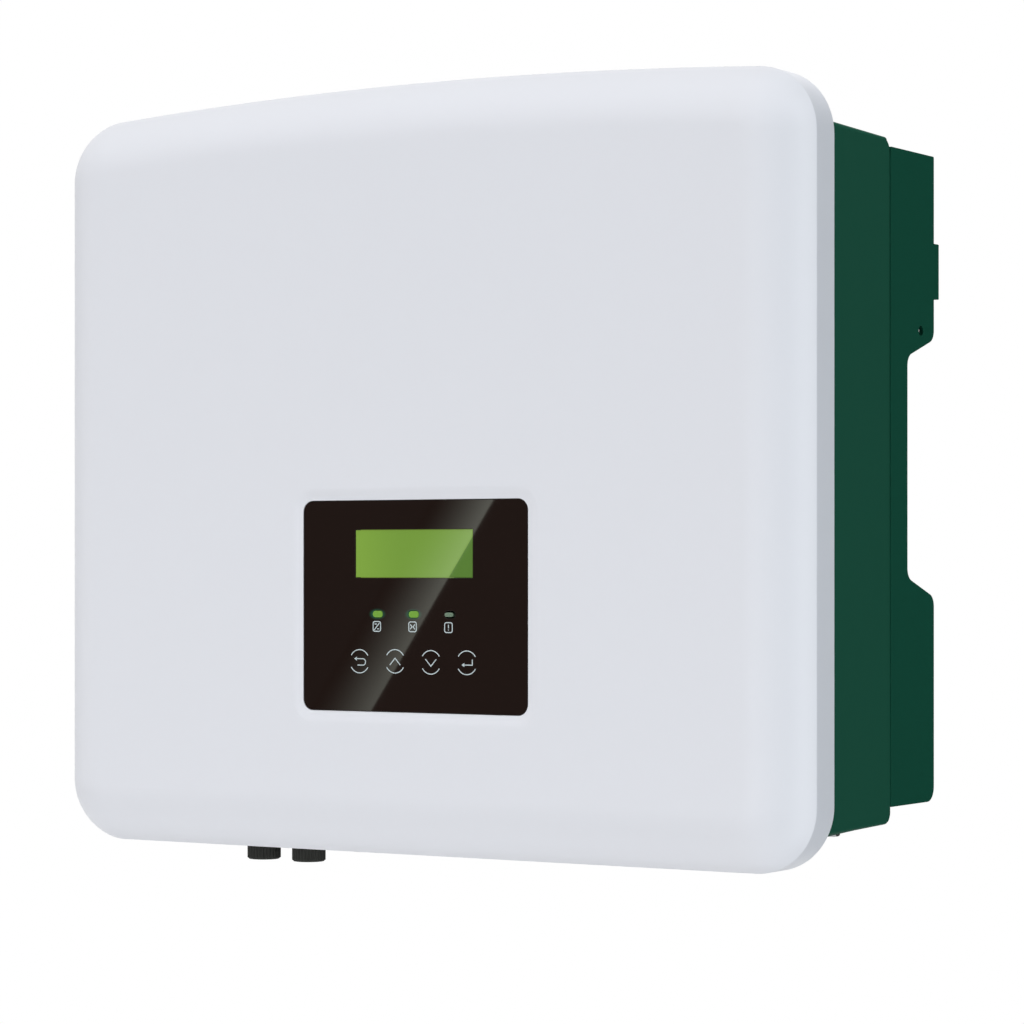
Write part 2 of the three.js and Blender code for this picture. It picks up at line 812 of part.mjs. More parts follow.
function sidePlate(side) {
  const gripMiddleZ = -gripDrop;
  const floorY = plateRearY - gripDepth;
  const outline = filletedOutline([
    [plateFrontY, plateBottomZ, plateSharpRadius],
    [plateRearY, plateBottomZ, plateCornerRadius],
    [plateRearY, gripMiddleZ - gripLength / 2 - gripFlare, gripRadius],
    [floorY, gripMiddleZ - gripLength / 2, gripRadius],
    [floorY, gripMiddleZ + gripLength / 2, gripRadius],
    [plateRearY, gripMiddleZ + gripLength / 2 + gripFlare, gripRadius],
    [plateRearY, plateTopZ, plateSharpRadius],
    [plateFrontY, plateTopZ, plateSharpRadius],
  ]);
  const outer = side * plateX;
  const inner = side * (plateX - plateThickness);
  const web = extrudeAlongX(outline, Math.min(outer, inner), Math.max(outer, inner));
  const flangeEnd = side * (plateX - plateThickness - plateFlange);
  const fold = side * (plateX - plateThickness / 2);
  const flange = slab(
    [Math.min(fold, flangeEnd), Math.max(fold, flangeEnd)],
    [plateFrontY, plateFrontY + plateThickness],
    [plateBottomZ + plateThickness, plateTopZ - plateThickness],
  );
  const lockHole = rodAlongX(
    lockHoleRadius,
    plateRearY - lockHoleFromEdge,
    -lockHoleDrop,
    Math.min(outer, inner) - cutOverrun,
    Math.max(outer, inner) + cutOverrun,
  );
  const screwHoles = plateScrewHeights.map((z) =>
    rodAlongY(
      screwHoleRadius,
      side * plateScrewX,
      z,
      plateFrontY - cutOverrun,
      plateFrontY + plateThickness + cutOverrun,
    ),
  );
  return cut(join(web, flange), lockHole, ...screwHoles);
}

// Hanger bar: a channel whose windows rest on the hooks, with shoulders behind the side plates
function hangerBar() {
  const half = plateX - plateThickness - seatGap;
  const top = hangerHeight / 2;
  const web = slab([-half, half], [-hangerThickness, 0], [-top, top]);
  const shelf = slab([-half, half], [-hangerShelf, 0], [top - hangerThickness, top]);
  const ears = [-half, half - hangerThickness].map((x) =>
    slab([x, x + hangerThickness], [-hangerEar, 0], [-top, top]),
  );
  const reach = plateX - hangerEndInset;
  const shoulders = [
    [-reach, hangerThickness - half],
    [half - hangerThickness, reach],
  ].map((span) => slab(span, [plateRearY + seatGap, 0], [-top, top]));
  const windows = [-hookWindowX, hookWindowX].map((x) =>
    slab(
      [x - hookWindowWidth / 2, x + hookWindowWidth / 2],
      [-hangerThickness - cutOverrun, cutOverrun],
      [-hookWindowHeight / 2, hookWindowHeight / 2],
    ),
  );
  return cut(join(web, shelf, ...ears, ...shoulders), ...windows);
}

// Screws along Y, with the head towards the rear
function screwAlongY(x, z, seatY) {
  const headY = seatY + seatGap;
  const profile = [
    [0, -headY - screwHeadHeight],
    [screwHeadRadius, -headY - screwHeadHeight],
    [screwHeadRadius, -headY],
    [screwRadius, -headY],
    [screwRadius, screwLength - seatY],
    [0, screwLength - seatY],
  ];
  const points = profile.map(([radius, y]) => new THREE.Vector2(radius, y));
  return new THREE.LatheGeometry(points, smallSides).rotateX(Math.PI).translate(x, 0, z);
}

// Sockets under the housing
const socketColumns = pvShares.map((share) => share * housingHalfWidth);
const middleRowY = (coverRearY + housingRearY) / 2 + rowShift;
const frontRowY = middleRowY - rowPitch / 2;
const rearRowY = middleRowY + rowPitch / 2;
const batteryX = batteryShare * housingHalfWidth;
const portX = portShare * housingHalfWidth;
const commX = commShare * housingHalfWidth;
const ventX = ventShare * housingHalfWidth;
const groundX = groundShare * housingHalfWidth;
const pvPlaces = [
  { x: socketColumns[0], y: frontRowY, noseLength: frontNoseLength },
  { x: socketColumns[1], y: frontRowY, noseLength: frontNoseLength },
  { x: socketColumns[0], y: rearRowY, noseLength: rearNoseLength },
  { x: socketColumns[1], y: rearRowY, noseLength: rearNoseLength },
];
const batteryPlaces = [
  { x: batteryX, y: frontRowY + batteryRowShift, noseLength: batteryNoseLength },
  { x: batteryX, y: rearRowY, noseLength: rearNoseLength },
];
const gridPlaces = gridShares.map((share) => share * housingHalfWidth);
const commEntries = [commX - commEntryPitch / 2, commX + commEntryPitch / 2];
const groundPlaces = [middleRowY - groundPitch / 2, middleRowY + groundPitch / 2];
const wallStems = [
  ...pvPlaces.map(({ x, y }) => ({ x, y, radius: pvStemRadius })),
  ...batteryPlaces.map(({ x, y }) => ({ x, y, radius: batteryStemRadius })),
  ...gridPlaces.map((x) => ({ x, y: middleRowY, radius: gridStemRadius })),
  ...commEntries.map((x) => ({ x, y: middleRowY, radius: entryBoreRadius })),
  { x: portX, y: middleRowY, radius: portStemRadius },
  { x: ventX, y: middleRowY, radius: ventStemRadius },
  ...groundPlaces.map((y) => ({ x: groundX, y, radius: groundShankRadius })),
];

function roundSocket(x, y, noseLength, stemRadius, collarRadius, noseRadius, boreRadius) {
  const collarEnd = seatZ - collarThickness;
  const noseEnd = collarEnd - noseLength;
  const body = turned(
    [
      [0, seatZ + stemLength],
      [stemRadius, seatZ + stemLength],
      [stemRadius, collarEnd + collarThickness / 2],
      [noseRadius, collarEnd + collarThickness / 2],
      [noseRadius, noseEnd],
      [boreRadius, noseEnd],
      [boreRadius, noseEnd + boreDepth],
      [0, noseEnd + boreDepth],
    ],
    x,
    y,
  );
  const collar = rodAlongZ(collarRadius, x, y, collarEnd, seatZ, hexSides);
  return join(body, collar);
}

// A ribbed cup that pulls down off a socket's nose
function roundCap(x, y, noseLength, noseRadius) {
  const top = seatZ - collarThickness - seatGap;
  const bottom = seatZ - collarThickness - noseLength - slideGap - capFloor;
  const boreRadius = noseRadius + slideGap;
  const outerRadius = boreRadius + capWall;
  const shape = new THREE.Shape();
  const ribPoints = capRibCount * 4;
  for (let i = 0; i < ribPoints; i += 1) {
    const angle = (2 * Math.PI * (i + 0.5)) / ribPoints;
    const radius = outerRadius + (i % 4 < 2 ? capRibHeight : 0);
    const point = [radius * Math.cos(angle), radius * Math.sin(angle)];
    if (i === 0) shape.moveTo(...point);
    else shape.lineTo(...point);
  }
  shape.closePath();
  const body = extrudeAlongZ(shape, bottom, top).translate(x, y, 0);
  return cut(body, rodAlongZ(around(boreRadius, roundSides), x, y, bottom + capFloor, top + cutOverrun));
}

function gridSocket(x) {
  const flangeEnd = seatZ - gridFlangeThickness;
  const noseEnd = flangeEnd - gridNoseLength;
  const shape = roundedRectangle(gridFlangeWidth, gridFlangeWidth, gridFlangeRadius, x, middleRowY);
  const flange = extrudeAlongZ(shape, flangeEnd, seatZ);
  const body = turned(
    [
      [0, seatZ + stemLength],
      [gridStemRadius, seatZ + stemLength],
      [gridStemRadius, seatZ - gridFlangeThickness / 2],
      [gridNoseRadius, seatZ - gridFlangeThickness / 2],
      [gridNoseRadius, noseEnd],
      [gridBoreRadius, noseEnd],
      [gridBoreRadius, noseEnd + gridBoreDepth],
      [0, noseEnd + gridBoreDepth],
    ],
    x,
    middleRowY,
  );
  return join(flange, body);
}

function gridCap(x) {
  const top = seatZ - gridFlangeThickness - seatGap;
  const noseEnd = seatZ - gridFlangeThickness - gridNoseLength;
  const bottom = noseEnd - slideGap - capFloor;
  const bore = gridNoseRadius + slideGap;
  return turned(
    [
      [bore, top],
      [bore + capWall, top],
      [bore + capWall, bottom],
      [0, bottom],
      [0, bottom + capFloor],
      [bore, bottom + capFloor],
      [bore, top],
    ],
    x,
    middleRowY,
  );
}

function commCover() {
  const shape = roundedRectangle(commWidth, commDepth, commRadius, commX, middleRowY);
  const lidEnd = seatZ - commHeight;
  const lid = extrudeAlongZ(shape, lidEnd, seatZ);
  const collars = commEntries.map((x) =>
    rodAlongZ(entryRadius, x, middleRowY, lidEnd - entryHeight, seatZ - commHeight / 2),
  );
  const bores = commEntries.map((x) =>
    rodAlongZ(entryBoreRadius, x, middleRowY, lidEnd - entryHeight - cutOverrun, seatZ + cutOverrun),
  );
  return cut(join(lid, ...collars), ...bores);
}

function commPlug(x) {
  const end = seatZ - commHeight - entryHeight;
  return turned(
    [
      [0, seatZ + housingWall],
      [entryBoreRadius - seatGap, seatZ + housingWall],
      [entryBoreRadius - seatGap, end - seatGap],
      [plugRadius, end - seatGap],
      [plugRadius, end - seatGap - plugHead],
      [0, end - seatGap - plugHead],
    ],
    x,
    middleRowY,
  );
}

function monitorPort() {
  const flangeEnd = seatZ - portFlangeThickness;
  const end = seatZ - portHeight;
  const flange = rodAlongZ(portFlangeRadius, portX, middleRowY, flangeEnd, seatZ);
  const stemStart = seatZ - portFlangeThickness / 2;
  const stem = rodAlongZ(portStemRadius, portX, middleRowY, stemStart, seatZ + stemLength);
  const shell = slab(
    [portX - portWidth / 2, portX + portWidth / 2],
    [middleRowY - portDepth / 2, middleRowY + portDepth / 2],
    [end, seatZ - portFlangeThickness / 2],
  );
  const mouth = slab(
    [portX - portWidth / 2 + portWall, portX + portWidth / 2 - portWall],
    [middleRowY - portDepth / 2 + portWall, middleRowY + portDepth / 2 - portWall],
    [end - cutOverrun, end + portBoreDepth],
  );
  return cut(join(flange, stem, shell), mouth);
}

function monitorCap() {
  const top = seatZ - portFlangeThickness - seatGap;
  const bottom = seatZ - portHeight - slideGap - capFloor;
  const halfWidth = portWidth / 2 + slideGap;
  const halfDepth = portDepth / 2 + slideGap;
  const shape = roundedRectangle(
    2 * (halfWidth + capWall),
    2 * (halfDepth + capWall),
    capWall + slideGap,
    portX,
    middleRowY,
  );
  const hollow = slab(
    [portX - halfWidth, portX + halfWidth],
    [middleRowY - halfDepth, middleRowY + halfDepth],
    [bottom + capFloor, top + cutOverrun],
  );
  return cut(extrudeAlongZ(shape, bottom, top), hollow);
}

function ventPlug() {
  const stem = rodAlongZ(ventStemRadius, ventX, middleRowY, seatZ - ventHeight / 2, seatZ + stemLength / 2);
  const head = rodAlongZ(ventRadius, ventX, middleRowY, seatZ - ventHeight, seatZ, hexSides);
  return join(stem, head);
}

function groundScrew(y) {
  const head = rodAlongZ(groundRadius, groundX, y, seatZ - groundHeight, seatZ, hexSides);
  const shank = rodAlongZ(
    groundShankRadius,
    groundX,
    y,
    seatZ - groundHeight / 2,
    seatZ + groundShankLength,
    smallSides,
  );
  return join(head, shank);
}

// DC switch
const switchSeatX = switchPadX - seatGap;
const knobSeatX = switchSeatX - switchPlateThickness - slideGap;
const switchBodyHalf = housingFloorY - switchFloorGap - switchY;
const switchBodyX = -housingHalfWidth + housingWall + draftInset(switchY + switchBodyHalf) + seatGap;

function dcSwitchPlate() {
  const shape = roundedRectangle(switchPlateSize, switchPlateSize, switchPlateRadius, switchY, switchZ);
  const plate = extrudeAlongX(shape, switchSeatX - switchPlateThickness, switchSeatX);
  const bore = rodAlongX(
    around(switchShaftRadius + slideGap, roundSides),
    switchY,
    switchZ,
    switchSeatX - switchPlateThickness - cutOverrun,
    switchSeatX + cutOverrun,
  );
  return cut(plate, bore);
}

function dcSwitchKnob() {
  const base = rodAlongX(knobBaseRadius, switchY, switchZ, knobSeatX - knobBaseHeight, knobSeatX);
  const gripShape = roundedRectangle(knobGripWidth, knobGripLength, knobGripWidth / 2, switchY, switchZ);
  const gripEnd = knobSeatX - knobBaseHeight - knobGripHeight;
  const grip = extrudeAlongX(gripShape, gripEnd, knobSeatX - knobBaseHeight / 2, cornerSteps);
  const shaft = rodAlongX(
    switchShaftRadius,
    switchY,
    switchZ,
    knobSeatX - knobBaseHeight / 2,
    switchBodyX - slideGap,
  );
  return join(base, grip, shaft);
}

function dcSwitchBody() {
  const shape = roundedRectangle(2 * switchBodyHalf, switchBodyHeight, switchPlateRadius, switchY, switchZ);
  return extrudeAlongX(shape, switchBodyX, switchBodyX + switchBodyDepth);
}

// Electronics
function powerBoard() {
  const board = slab(
    [powerBoardLeftX, powerBoardRightX],
    [powerBoardFrontY, powerBoardY],
    [powerBoardBottomZ, powerBoardTopZ],
  );
  const standoffs = [powerBoardLeftX + standoffInset, powerBoardRightX - standoffInset].flatMap((x) =>
    [powerBoardBottomZ + standoffInset, powerBoardTopZ - standoffInset].map((z) =>
      rodAlongY(standoffRadius, x, z, powerBoardFrontY, housingFloorY - seatGap, hexSides),
    ),
  );
  const relays = [];
  for (let i = 0; i < relayCount; i += 1) {
    const z = powerBoardBottomZ + relayRise + i * relayPitch;
    relays.push(
      slab(
        [relayX - relayWidth / 2, relayX + relayWidth / 2],
        [powerBoardFrontY - relayDepth, powerBoardY],
        [z - relayHeight / 2, z + relayHeight / 2],
      ),
    );
  }
  return join(board, ...standoffs, ...relays);
}

function capacitorBank() {
  const seat = powerBoardFrontY - seatGap;
  const middleZ = powerBoardBottomZ + canBankRise;
  const base = slab(
    [canBankX - canBankHalf, canBankX + canBankHalf],
    [seat - canBaseThickness, seat],
    [middleZ - (canRows * canPitch) / 2, middleZ + (canRows * canPitch) / 2],
  );
  const cans = [];
  const canFrontY = flangeFrontY + canFrontGap;
  for (let column = 0; column < canColumns; column += 1)
    for (let row = 0; row < canRows; row += 1) {
      const x = canBankX + (column - (canColumns - 1) / 2) * canPitch;
      const z = middleZ + (row - (canRows - 1) / 2) * canPitch;
      cans.push(rodAlongY(canRadius, x, z, canFrontY, seat - canBaseThickness / 2, canSides));
    }
  return join(base, ...cans);
}

function powerModule() {
  const middleX = powerBoardRightX - moduleShare * powerBoardWidth;
  const middleZ = (powerBoardBottomZ + powerBoardTopZ) / 2 - moduleDrop;
  return slab(
    [middleX - moduleWidth / 2, middleX + moduleWidth / 2],
    [powerBoardY + seatGap, housingFloorY - seatGap],
    [middleZ - moduleHeight / 2, middleZ + moduleHeight / 2],
  );
}

const chokeWidth = (2 * (housingHalfWidth - housingWall - chokeSideGap) - 2 * chokeGap) / 3;

function choke(side) {
  const top = housingTopZ - housingWall - chokeTopGap;
  const x = side * (chokeWidth + chokeGap);
  const shape = roundedRectangle(chokeWidth, chokeHeight, chokeRadius, x, top - chokeHeight / 2);
  return extrudeAlongY(shape, flangeFrontY + chokeFrontGap, housingFloorY - seatGap);
}

function controlBoard() {
  const x0 = canBankX + canBankHalf + controlSideGap;
  const x1 = relayX - relayWidth / 2 - controlSideGap;
  const z0 = powerBoardBottomZ + controlLowShare * powerBoardHeight;
  const z1 = powerBoardTopZ - controlTopShare * powerBoardHeight;
  const frontOfBoard = flangeFrontY + controlFrontGap;
  const board = slab([x0, x1], [frontOfBoard, frontOfBoard + boardThickness], [z0, z1]);
  const standoffs = [x0 + standoffInset / 2, x1 - standoffInset / 2].flatMap((x) =>
    [z0 + standoffInset / 2, z1 - standoffInset / 2].map((z) =>
      rodAlongY(standoffRadius, x, z, frontOfBoard, powerBoardFrontY - seatGap, hexSides),
    ),
  );
  return join(board, ...standoffs);
}

// Assembly
const inverter = new THREE.Group();

function add(name, geometry, material) {
  const mesh = new THREE.Mesh(geometry, material);
  mesh.name = name;
  inverter.add(mesh);
}

add("front_cover", frontCover(), white);
add("cover_gasket", coverGasket(), rubber);
add("display_lens", displayLens(), blackGloss);
add("display_frame", displayFrame(), blackPlastic);
add("lcd_module", lcdModule(), lcdGreen);
add("display_board", displayBoard(), boardGreen);
["left", "middle", "right"].forEach((place, i) =>
  add("led_pipe_" + place, ledPipe(pipeOffsets[i]), lampGreen),
);
add("main_housing", housing(), green);
add("heat_sink", heatSink(), darkGreen);
add("side_plate_left", sidePlate(-1), darkGreen);
add("side_plate_right", sidePlate(1), darkGreen);
add("hanger_bar", hangerBar(), darkGreen);
coverScrewPlaces.forEach(([x, z], i) =>
  add("cover_screw_" + (i + 1), screwAlongY(x, z, flangeRearY), steel),
);
[-1, 1].forEach((side) =>
  plateScrewHeights.forEach((z, i) =>
    add(
      (side < 0 ? "left" : "right") + "_plate_screw_" + (i + 1),
      screwAlongY(side * plateScrewX, z, plateFrontY + plateThickness),
      steel,
    ),
  ),
);
pvPlaces.forEach(({ x, y, noseLength }, i) => {
  const socket = roundSocket(x, y, noseLength, pvStemRadius, pvCollarRadius, pvNoseRadius, pvBoreRadius);
  add("pv_socket_" + (i + 1), socket, blackPlastic);
  add("pv_cap_" + (i + 1), roundCap(x, y, noseLength, pvNoseRadius), rubber);
});
batteryPlaces.forEach(({ x, y, noseLength }, i) => {
  const socket = roundSocket(
    x,
    y,
    noseLength,
    batteryStemRadius,
    batteryCollarRadius,
    batteryNoseRadius,
    batteryBoreRadius,
  );
  add("battery_socket_" + (i + 1), socket, blackPlastic);
  add("battery_cap_" + (i + 1), roundCap(x, y, noseLength, batteryNoseRadius), rubber);
});
["grid", "backup"].forEach((use, i) => {
  add(use + "_socket", gridSocket(gridPlaces[i]), blackPlastic);
  add(use + "_cap", gridCap(gridPlaces[i]), rubber);
});
add("comm_cover", commCover(), blackPlastic);
commEntries.forEach((x, i) => add("comm_plug_" + (i + 1), commPlug(x), rubber));
add("monitor_port", monitorPort(), blackPlastic);
add("monitor_cap", monitorCap(), rubber);
add("vent_plug", ventPlug(), blackPlastic);
groundPlaces.forEach((y, i) => add("ground_screw_" + (i + 1), groundScrew(y), steel));
add("dc_switch_plate", dcSwitchPlate(), blackPlastic);
add("dc_switch_knob", dcSwitchKnob(), blackPlastic);
add("dc_switch_body", dcSwitchBody(), blackPlastic);
add("power_board", powerBoard(), boardGreen);
add("capacitor_bank", capacitorBank(), canBlue);
add("power_module", powerModule(), blackPlastic);
[-1, 0, 1].forEach((side, i) => add("choke_" + (i + 1), choke(side), potting));
add("control_board", controlBoard(), boardGreen);

export default inverter;
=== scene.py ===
import bmesh
import bpy
import json
from math import asin, atan2, copysign, cos, hypot, pi, radians, sin, sqrt, tan
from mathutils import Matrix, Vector
from mathutils.geometry import tessellate_polygon


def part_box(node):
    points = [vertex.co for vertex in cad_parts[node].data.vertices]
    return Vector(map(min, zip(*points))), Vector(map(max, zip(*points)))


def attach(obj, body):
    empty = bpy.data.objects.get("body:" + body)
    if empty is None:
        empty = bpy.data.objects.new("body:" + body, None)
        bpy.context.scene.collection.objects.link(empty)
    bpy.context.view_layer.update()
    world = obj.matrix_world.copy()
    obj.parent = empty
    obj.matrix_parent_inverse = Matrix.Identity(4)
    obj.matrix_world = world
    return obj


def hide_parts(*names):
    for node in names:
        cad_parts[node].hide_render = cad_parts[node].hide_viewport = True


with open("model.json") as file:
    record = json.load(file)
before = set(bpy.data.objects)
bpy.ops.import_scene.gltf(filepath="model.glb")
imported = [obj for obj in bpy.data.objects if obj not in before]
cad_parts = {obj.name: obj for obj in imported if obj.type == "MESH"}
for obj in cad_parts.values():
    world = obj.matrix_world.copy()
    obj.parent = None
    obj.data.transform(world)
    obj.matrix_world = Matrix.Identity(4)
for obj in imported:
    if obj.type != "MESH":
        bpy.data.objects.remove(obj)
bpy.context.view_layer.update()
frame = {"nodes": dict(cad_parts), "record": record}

# Camera, from the photograph's vanishing points
CAMERA_PLACE = (1.01229, -1.68668, -0.16024)
CAMERA_TURN_DEGREES = 31.988
CAMERA_LENS = 117.897
CAMERA_SENSOR = 36.0
CAMERA_SHIFT = 0.05068
CAMERA_CLIP = (0.05, 60)
IMAGE_SIZE = 1024

# Front cover
COVER_ARCH_RISE = 0.0095
COVER_CORNER_RADIUS = 0.035
COVER_EDGE_DEPTH = 0.0225
COVER_EDGE_TURN_DEGREES = 68
COVER_CREASE_RADIUS = 0.003
COVER_WALL = 0.003
COVER_RIM_ROUND = 0.0006
COVER_RIM_BULGE = 0.3
COVER_SHARP_DEGREES = 50
COVER_CORNER_STEPS = 20
COVER_ARCH_STEPS = 64
COVER_EDGE_STEPS = 16
COVER_CREASE_STEPS = 6

# Display panel
DISH_MARGIN = 0.007
DISH_DEPTH = 0.001
DISH_STEPS = 8
PANEL_CORNER_RADIUS = 0.006
PANEL_GAP = 0.0003
LENS_EDGE = 0.0002
LENS_SHARP_DEGREES = 8
LAMP_CLEARANCE = 0.0003
LAMP_EDGE = 0.0004
LAMP_NODES = ("led_pipe_left", "led_pipe_middle", "led_pipe_right")
UNLIT_LAMP_WIDTH = 0.0056
UNLIT_LAMP_HEIGHT = 0.0024
UNLIT_LAMP_SHIFT = 0.0008
LCD_RIM = 0.005
LCD_CORNER_RADIUS = 0.0004
MARK_LIFT = 0.00008
MARK_LINE = 0.0005
KEY_RADIUS = 0.00635
KEY_ARC_DEGREES = (31, 149)
KEY_CENTRES = ((-0.0267, -0.2133), (-0.0034, -0.2130), (0.0198, -0.2132), (0.0428, -0.2131))
RETURN_BEND_RADIUS = 0.00175
RETURN_BEND_CENTRE = (0.0022, -0.00035)
ARROW_TIPS = (-0.0035, 0.0014), (-0.0033, -0.0012)
ARROW_LENGTH = 0.0017
ARROW_HALF_WIDTH = 0.0011
ICON_WIDTH = 0.0049
ICON_HEIGHT = 0.0053
ICON_CORNER = 0.0011
ICON_CENTRES = ((-0.0153, -0.1942), (0.0080, -0.1942), (0.0311, -0.1944))

# Light in the panel
MARK_COLOUR = (0.46, 0.53, 0.55)
MARK_GLOW = 0.12
LAMP_GLOW_COLOUR = (0.155, 0.320, 0.028)
LAMP_GLOW = 0.46
HALO_SQUASH = 0.55
HALO_REACH = (0.0017, 0.0034)
HALO_COLOUR = (0.0, 0.30, 0.17)
HALO_STRENGTH = 0.18
LCD_GLOW_COLOUR = (0.130, 0.190, 0.022)
# Painted shade on the display: a falloff from its left towards its right, and a darker part beyond
# the line of the streak that the panel reflects
LCD_PAINTED_FALLOFF = 0.72
LCD_PAINTED_FALLOFF_LENGTH = 0.038
LCD_PAINTED_SHADE = 0.15
LCD_PAINTED_SHADE_EDGE = 0.0002

# Main housing
HOUSING_REAR_RADIUS = 0.004
HOUSING_TOP_REAR_RADIUS = 0.0068
HOUSING_EDGE = 0.0001
CORNER_SLACK = 0.05
LAND_END = 0.2284
LAND_SLOPE = 0.0092
LAND_MIDDLE = -0.1

# Side plates
PLATE_THICKNESS = 0.0025
PLATE_REACH = 0.00028
PLATE_FLANGE = 0.020
PLATE_FLANGE_LIFT = 0.00005
PLATE_EDGE = 0.0001
PLATE_CORNER = 0.008
PLATE_FOLD_CORNER = 0.001
GRIP_DEPTH = 0.03359
GRIP_LENGTH = 0.1192
GRIP_FLARE = 0.0108
GRIP_DROP = 0.108
GRIP_RADIUS = 0.007
LOCK_HOLE_RADIUS = 0.00275
LOCK_HOLE_FROM_EDGE = 0.0166
LOCK_HOLE_DROP = 0.0336

# Sockets and caps. A profile's row is a radius, a depth from its base, the corner's round
# and the weight of its ribs or hexagon there.
STEM_LENGTH = 0.016
SLIDE_GAP = 0.00035
COLLAR_THICKNESS = 0.005
COLLAR_CHAMFER = 0.0008
COLLAR_FLAT = 0.9
NOSE_STEP = 0.0034
NOSE_LIP = 0.0006
BORE_DEPTH = 0.009
PIN_LENGTH = 0.010
PIN = ((0.0015, 0.0015), (0.00075, 0.0006))
PV_RADII = {"stem": 0.0065, "collar": 0.0115, "nose": 0.0070, "bore": 0.0048}
BATTERY_RADII = {"stem": 0.0086, "collar": 0.0136, "nose": 0.0098, "bore": 0.0070}
CAP_WALL = 0.0016
CAP_FLOOR = 0.0026
CAP_RIBS = (30, 0.0007)
GRID_CAP_RIBS = (40, -0.0005)

# Caps: rows of the rim have a step out from the wall and down from the top, and rows of
# the end a share of the radius and a step up from the bottom
CAP_RIM = (
    (0.00056, 0, 0.0004), (0.00056, 0.0016, 0.0003), (0, 0.0020, 0.0002),
    (0, 0.0026, 0.0002, 1.0),
)
PV_CAP_END = (
    (1, 0.0010, 0.0002, 1.0), (1, 0, 0.0006), (0.62, 0, 0.0002),
    (0.3, 0, 0.0002), (0.26, 0.0004, 0.0002), (0.1, 0.0004),
)
BATTERY_CAP_END = (
    (1, 0.0032, 0.0002, 1.0), (1, 0.0022, 0.0006), (0.62, 0.00044, 0.0024),
    (0.3, 0, 0.0024), (0.26, 0.0004, 0.0002), (0.1, 0.0004),
)
GRID_CAP_RIM = ((0, 0, 0.0005), (0, 0.0030, 0.0003), (0, 0.0034, 0.0002, 1.0))
GRID_CAP_END = (
    (1, 0.0018, 0.0002, 1.0), (1, 0, 0.0010), (0.75, 0, 0.0003),
    (0.72, 0.0006, 0.0003), (0.2, 0.0006),
)

# Grid and backup sockets
GRID_RADII = {"stem": 0.014, "nose": 0.0165, "bore": 0.0135}
GRID_FLANGE_WIDTH = 0.044
GRID_FLANGE_RADIUS = 0.006
GRID_FLANGE_THICKNESS = 0.004
GRID_FLANGE_EDGE = 0.0006
GRID_SHOULDER = 0.0012
GRID_SHOULDER_DROP = 0.0008
GRID_ROUND = 0.0005
GRID_BORE_ROUND = 0.0004
GRID_SINK = 0.002
GRID_SCREW_INSET = 0.0048
GRID_SCREW = (0.0024, 0.0014)
SCREW_SINK = 0.0002

# Screws, ground screws and vent plug. The rows of a pan head's dome and recess are shares
# of its radius and its height, then a round as a share of its radius, or the star's weight.
PAN_RADIUS = 0.0038
PAN_HEIGHT = 0.0026
PAN_ROOT = 0.5
PAN_DOME = ((1, 0.45, 0.2), (0.82, 0.88, 0.2), (0.6, 1, 0.1))
PAN_RECESS = ((0.52, 1, 1.0), (0.4888, 0.35, 1.0), (0.156, 0.30, 0.0))
PAN_RECESS_ROUND = 0.0001
GROUND_SEAT = 0.004
GROUND_HEAD = (
    (0.0025, 0, 0.0002), (0.0050, 0, 0.0002), (0.0050, -0.0005, 0.0002),
    (0.0048, -0.0005, 0.0001, 1.0), (0.0048, -0.0014, 0.0001, 1.0), (0.0039, -0.0019, 0.0002),
    (0.0021, -0.0019, 0.0001, 0.9), (0.00189, -0.0007, 0.0001, 0.9), (0.00063, -0.0007),
)
VENT_HEAD = (
    (0.0050, 0.0060, 0.0002), (0.0090, 0.0060, 0.0002), (0.0090, 0.0050, 0.0002),
    (0.0090, 0.0048, 0.0002, 1.0), (0.0090, 0.0010, 0.0002, 1.0), (0.00756, 0, 0.0003),
    (0.00495, 0, 0.0003), (0.0045, 0.0012, 0.0003), (0.00198, 0.0012, 0.0003),
    (0.0018, 0.0003, 0.0003), (0.0009, 0.0003),
)

# Communication cover
LID_CORNER = 0.005
LID_EDGE = 0.0009
LID_DROP = 0.009
LID_SCREW_INSET = 0.0045
LID_SCREW = (0.0026, 0.0016)
PORT_RADIUS = 0.008
RIM_RADIUS = 0.0115
RIM_BORE_RADIUS = 0.00805
RIM_EDGE = 0.0006
RIM_SINK = 0.0005
PLUG_HEAD = (
    (0.0077, 0.0018, 0.0002), (0.0096, 0.0018, 0.0002), (0.0096, 0, 0.0006),
    (0.0064, 0, 0.0003), (0.0060, 0.0006, 0.0003), (0.0020, 0.0006),
)

# Monitoring port. Its rectangles have a width, a height, a corner radius and corner steps.
MONITOR_STEM_RADIUS = 0.007
MONITOR_FLANGE = (
    (0.006, 0), (0.0145, 0, 0.0004), (0.0145, -0.0025, 0.0005), (0.006, -0.0025),
)
MONITOR_SHELL = (0.0200, 0.0120, 0.0008, 4)
MONITOR_MOUTH = (0.0168, 0.0088, 0.0004, 4)
MONITOR_DEPTH = 0.010
MONITOR_SINK = (0.001, 0.002)
MONITOR_TONGUE = (0.0120, 0.0018, 0.0003, 3)
MONITOR_TONGUE_SHIFT = 0.0012
MONITOR_TONGUE_ENDS = (0.0011, 0.0105)
MONITOR_CAP_EDGE = 0.0005
MONITOR_CAP_CORNERS = (0.0022, 0.0006)

